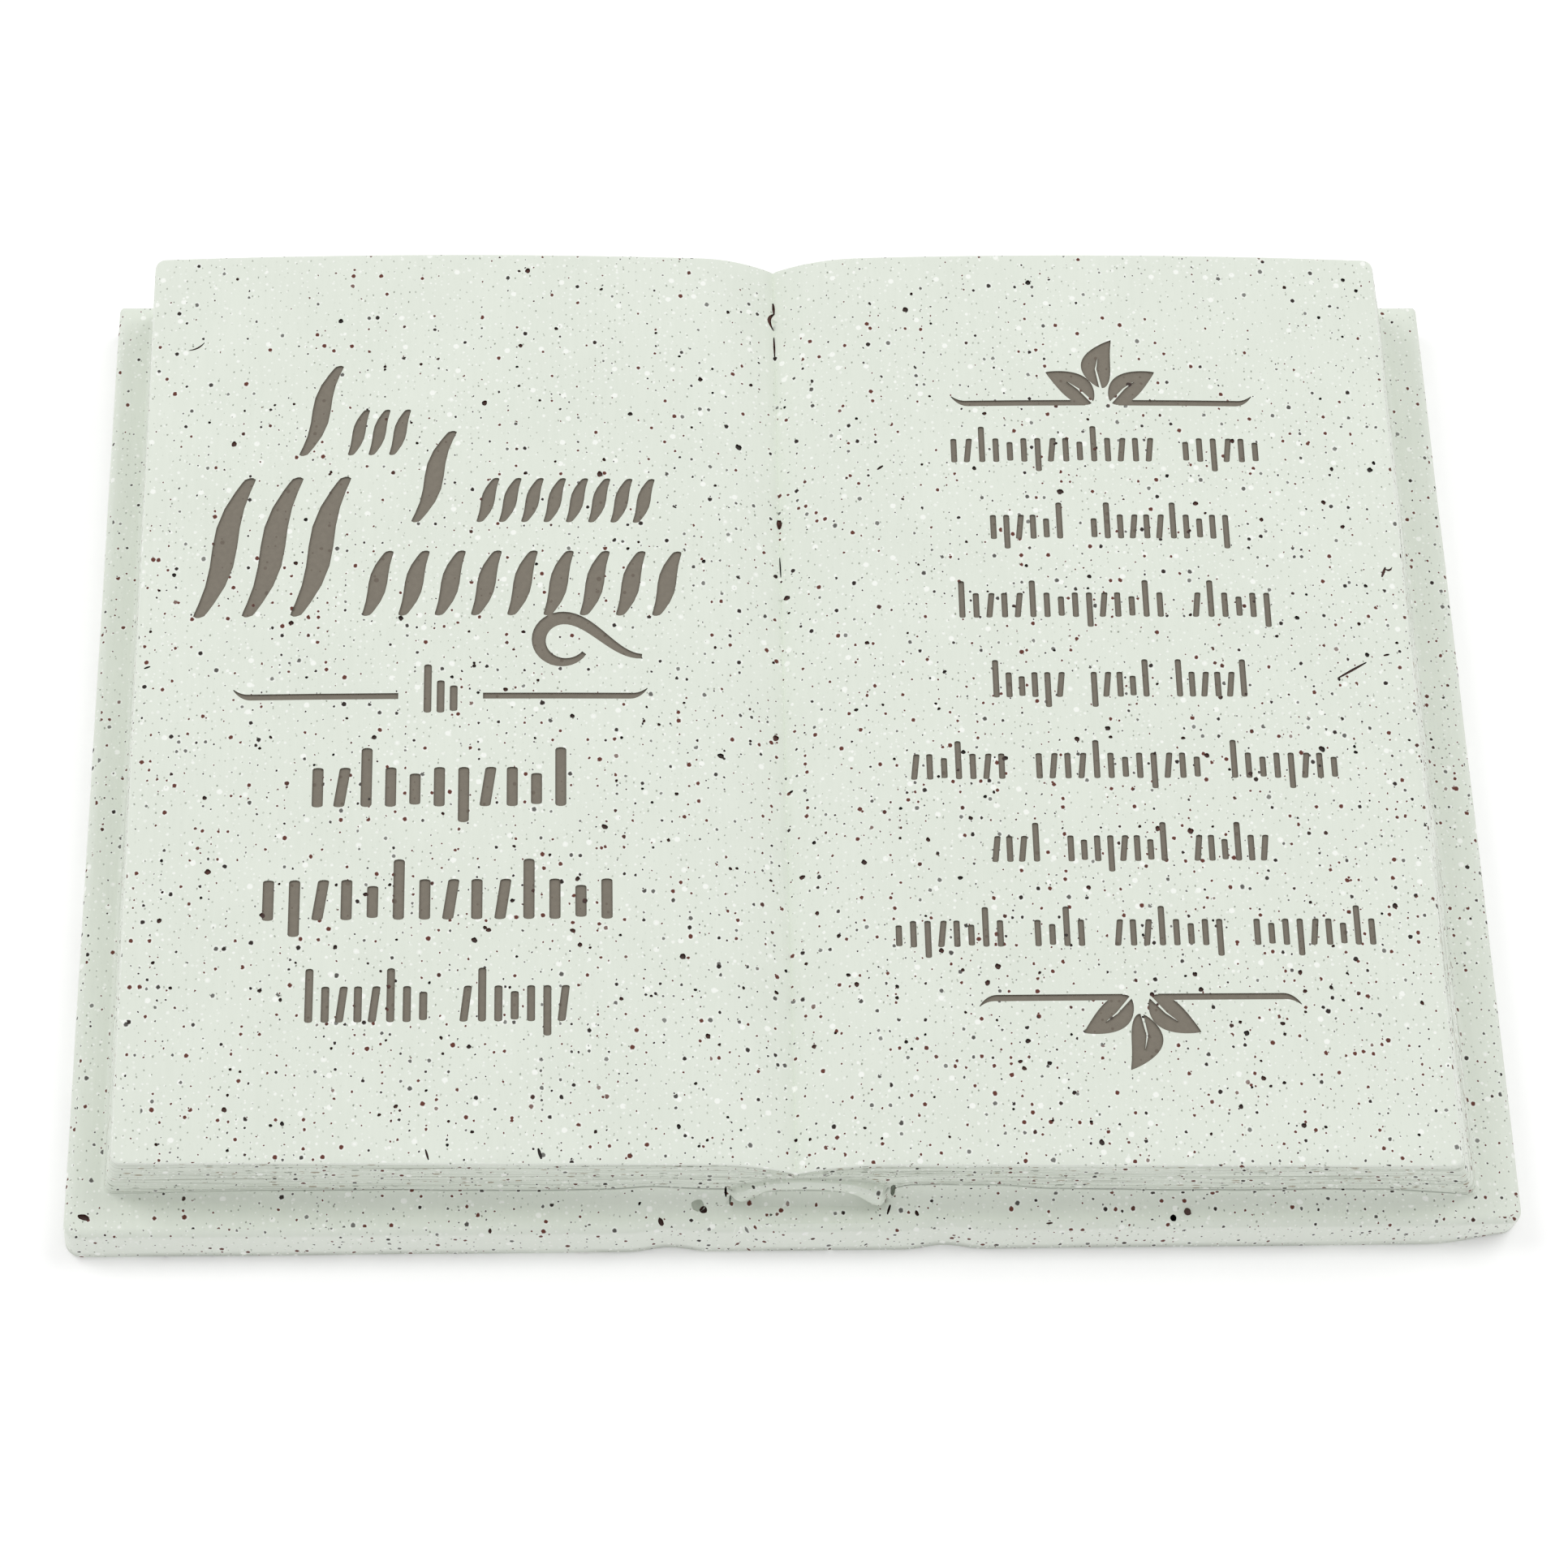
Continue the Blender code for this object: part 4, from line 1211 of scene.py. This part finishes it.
def stoneMaterial():
    material, tree, shader, flat = newFinish("speckledStone")
    body = nodeOf(tree, "ShaderNodeTexCoord", {}, {}, output=3)
    jitter = flatNoise(tree, flat, 4200.0, 0.0, output=1)
    place = nodeOf(tree, "ShaderNodeVectorMath", {"operation": "MULTIPLY_ADD"},
                   {0: jitter, 1: (0.00011, 0.00011, 0.0), 2: flat})
    where = tree.nodes.new("ShaderNodeSeparateXYZ")
    tree.links.new(body.socket, where.inputs[0])
    side, along = Shade(tree, where.outputs[0]), Shade(tree, where.outputs[1])
    density = along.range(0.066, -0.01, 0.45, 1.2) * side.range(-0.08, 0.08, 0.85, 1.15)
    wall, worn, seam, edge = (nodeOf(tree, "ShaderNodeAttribute", {"attribute_name": name}, {}, 2)
                              for name in skinLayers)

    cloud = flatNoise(tree, flat, 60.0, 2.0, 0.6)
    drawn = nodeOf(tree, "ShaderNodeMapping", {}, {"Vector": flat, "Scale": (1.0, 0.10, 1.0)})
    lines = flatNoise(tree, drawn, 1500.0, 1.0)
    layers = nodeOf(tree, "ShaderNodeMapping", {}, {"Vector": flat, "Scale": (0.02, 1.0, 1.0)})
    sheets = flatNoise(tree, layers, 1900.0, 2.0, 0.7)
    tint = cloud.range(0.3, 0.7) * 0.6 + lines.range(0.3, 0.7) * 0.4
    colour = mixColour(tree, tint, stoneLook["shadow"], stoneLook["pale"])
    # the right wall of the block made paler, towards white, in patches
    rightWallPatches = worn * sheets.range(0.4, 0.7) * cloud.range(0.3, 0.55)
    colour = mixColour(tree, rightWallPatches, colour, stoneLook["white"])
    colour = mixColour(tree, sheets.range(0.50, 0.30) * wall * 0.75, colour, stoneLook["line"])
    fleck, lot, size, tone = speckles(tree, place, speckCells["fleck"], 0.087, 3.2)
    fleck = (fleck / (size * 0.00035 + 0.00018)).range(1.2, 0.8) * lot.math("LESS_THAN", 0.22) * wall
    # a painted highlight on the face of the cover and the upper edge of the pages
    colour = mixColour(tree, edge * 0.5, colour, stoneLook["white"])
    fleckColour = mixColour(tree, tone.range(0.4, 0.6), stoneLook["rust"], stoneLook["grey"])
    colour = mixColour(tree, fleck * 0.7, colour, fleckColour)
    # painted shade, in patches, in the groove at the foot of the block, under the band and along the foot
    # of the cover
    colour = mixColour(tree, seam * cloud.range(0.25, 0.5, 0.35, 0.85), colour, stoneLook["seam"])

    way, lot, size, tone = speckles(tree, place, speckCells["fine"], 0.227, 0.72)
    fine = (way / (size * 0.00005 + 0.00006)).range(1.35, 0.65)
    common = lot.math("LESS_THAN", 0.40) * (tone * 0.45 + 0.38)
    grey = fine * (common + lot.range(0.86, 0.84) * tone * 0.16)
    way, lot, size, tone = speckles(tree, place, speckCells["pale"], 0.341)
    pale = (way / (size * size * size * 0.00011 + 0.00010)).range(1.3, 0.7)
    pale = pale * lot.math("LESS_THAN", 0.50) * tone.range(0.0, 1.0, 0.45, 1.0)
    dark, brown, ring, blot = darkSpecks(tree, place, density)
    colour = mixColour(tree, pale.over(blot).over(ring * 0.6), colour, stoneLook["white"])
    colour = mixColour(tree, grey, colour, stoneLook["grey"])
    colour = mixColour(tree, dark, colour, mixColour(tree, brown, stoneLook["black"], stoneLook["brown"]))
    feed(tree, shader.inputs["Base Color"], colour)

    feed(tree, shader.inputs["Roughness"], (lines - 0.5) * 0.12 + stoneLook["roughness"])
    shader.inputs["Specular IOR Level"].default_value = 0.3
    relief = {"Strength": 0.3, "Distance": 0.0001, "Height": lines + cloud * 0.8}
    bump = nodeOf(tree, "ShaderNodeBump", {}, relief)
    feed(tree, shader.inputs["Normal"], bump)
    return material


def engravedMaterial():
    material, tree, shader, flat = newFinish("engravedFill")
    grain = flatNoise(tree, flat, 1400.0, 2.0)
    base = stoneLook["engraved"]
    colour = mixColour(tree, grain.range(0.35, 0.65), tuple(value * 0.93 for value in base), base)
    dark, _, _, _ = darkSpecks(tree, flat, 1.0)
    colour = mixColour(tree, dark * 0.42, colour, (0.085, 0.055, 0.040))
    feed(tree, shader.inputs["Base Color"], colour)
    feed(tree, shader.inputs["Roughness"], (grain - 0.5) * 0.1 + 0.72)
    shader.inputs["Specular IOR Level"].default_value = 0.25
    return material


def grainMaterial():
    # chips and pits, black to red-brown from one to the next
    material, tree, shader, flat = newFinish("darkGrain")
    broad = flatNoise(tree, flat, 170.0, 1.0)
    close = flatNoise(tree, flat, 5200.0, 1.0)
    brown = broad.range(0.40, 0.62) * close.range(0.30, 0.60)
    colour = mixColour(tree, brown, stoneLook["black"], stoneLook["brown"])
    feed(tree, shader.inputs["Base Color"], colour)
    feed(tree, shader.inputs["Roughness"], close * 0.2 + 0.5)
    return material


stone = stoneMaterial()
engraved = engravedMaterial()
grain = grainMaterial()
casting = buildCasting(stone, engraved, grain)
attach(casting, "root")
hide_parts("open_book")
print("casting placed")

# Stage, light and camera

stage = {
    "floor": (0.94, 0.94, 0.94),
    "floorGlow": 0.16,
    "world": 0.60,
    "lampSize": 0.9,
    "lamps": (
        ("leftLamp", (-0.85, 0.35, 1.10), 5.5),
        ("rightLamp", (0.68, 0.35, 1.10), 4.8),
    ),
}


def buildFloor():
    mesh = bpy.data.meshes.new("floor")
    reach = 3.0
    mesh.from_pydata([(-reach, -reach, 0), (reach, -reach, 0), (reach, reach, 0), (-reach, reach, 0)],
                     [], [(0, 1, 2, 3)])
    floor = bpy.data.objects.new("floor", mesh)
    floor.location.z = -0.00005
    bpy.context.scene.collection.objects.link(floor)
    material = bpy.data.materials.new("floor")
    material.use_nodes = True
    shader = material.node_tree.nodes["Principled BSDF"]
    shader.inputs["Base Color"].default_value = (*stage["floor"], 1.0)
    shader.inputs["Roughness"].default_value = 0.9
    shader.inputs["Specular IOR Level"].default_value = 0.1
    shader.inputs["Emission Color"].default_value = (1.0, 1.0, 1.0, 1.0)
    shader.inputs["Emission Strength"].default_value = stage["floorGlow"]
    mesh.materials.append(material)


def buildLight(name, place, power, size):
    lamp = bpy.data.lights.new(name, "AREA")
    lamp.shape = "DISK"
    lamp.size = size
    lamp.energy = power
    holder = bpy.data.objects.new(name, lamp)
    bpy.context.scene.collection.objects.link(holder)
    holder.location = place
    holder.rotation_euler = (-Vector(place)).to_track_quat("-Z", "Y").to_euler()


def buildWorld():
    world = bpy.data.worlds.new("studio")
    world.use_nodes = True
    background = world.node_tree.nodes["Background"]
    background.inputs["Color"].default_value = (1.0, 1.0, 1.0, 1.0)
    background.inputs["Strength"].default_value = stage["world"]
    bpy.context.scene.world = world


def buildCamera():
    # fitted to the corners of the book in the photo, about a point over the middle of the ground
    elevation, yaw, roll = (math.radians(v) for v in (61.311, 5.137, -4.231))
    focal, distance, centreX, centreY = 5163.369, 0.544220, -0.000339, 0.006515
    aimHeight, sensor, photoWidth = 0.008, 36, 1932
    right = Vector((math.cos(yaw), -math.sin(yaw), 0))
    ahead = Vector((math.sin(yaw), math.cos(yaw), 0))
    forward = ahead * math.cos(elevation) - Vector((0, 0, math.sin(elevation)))
    up = ahead * math.sin(elevation) + Vector((0, 0, math.cos(elevation)))
    place = Vector((0, 0, aimHeight)) - right * centreX - up * centreY - forward * distance
    turnedRight = right * math.cos(roll) - up * math.sin(roll)
    turnedUp = right * math.sin(roll) + up * math.cos(roll)
    camera = bpy.data.cameras.new("camera")
    camera.sensor_width = sensor
    camera.lens = sensor * focal / photoWidth
    holder = bpy.data.objects.new("camera", camera)
    bpy.context.scene.collection.objects.link(holder)
    holder.matrix_world = Matrix((turnedRight, turnedUp, -forward)).transposed().to_4x4()
    holder.location = place
    bpy.context.scene.camera = holder


buildFloor()
buildWorld()
for name, place, power in stage["lamps"]:
    buildLight(name, place, power, stage["lampSize"])
buildCamera()
bpy.context.scene.view_settings.view_transform = "Standard"
bpy.context.scene.view_settings.look = "None"
print("stage, light and camera set")
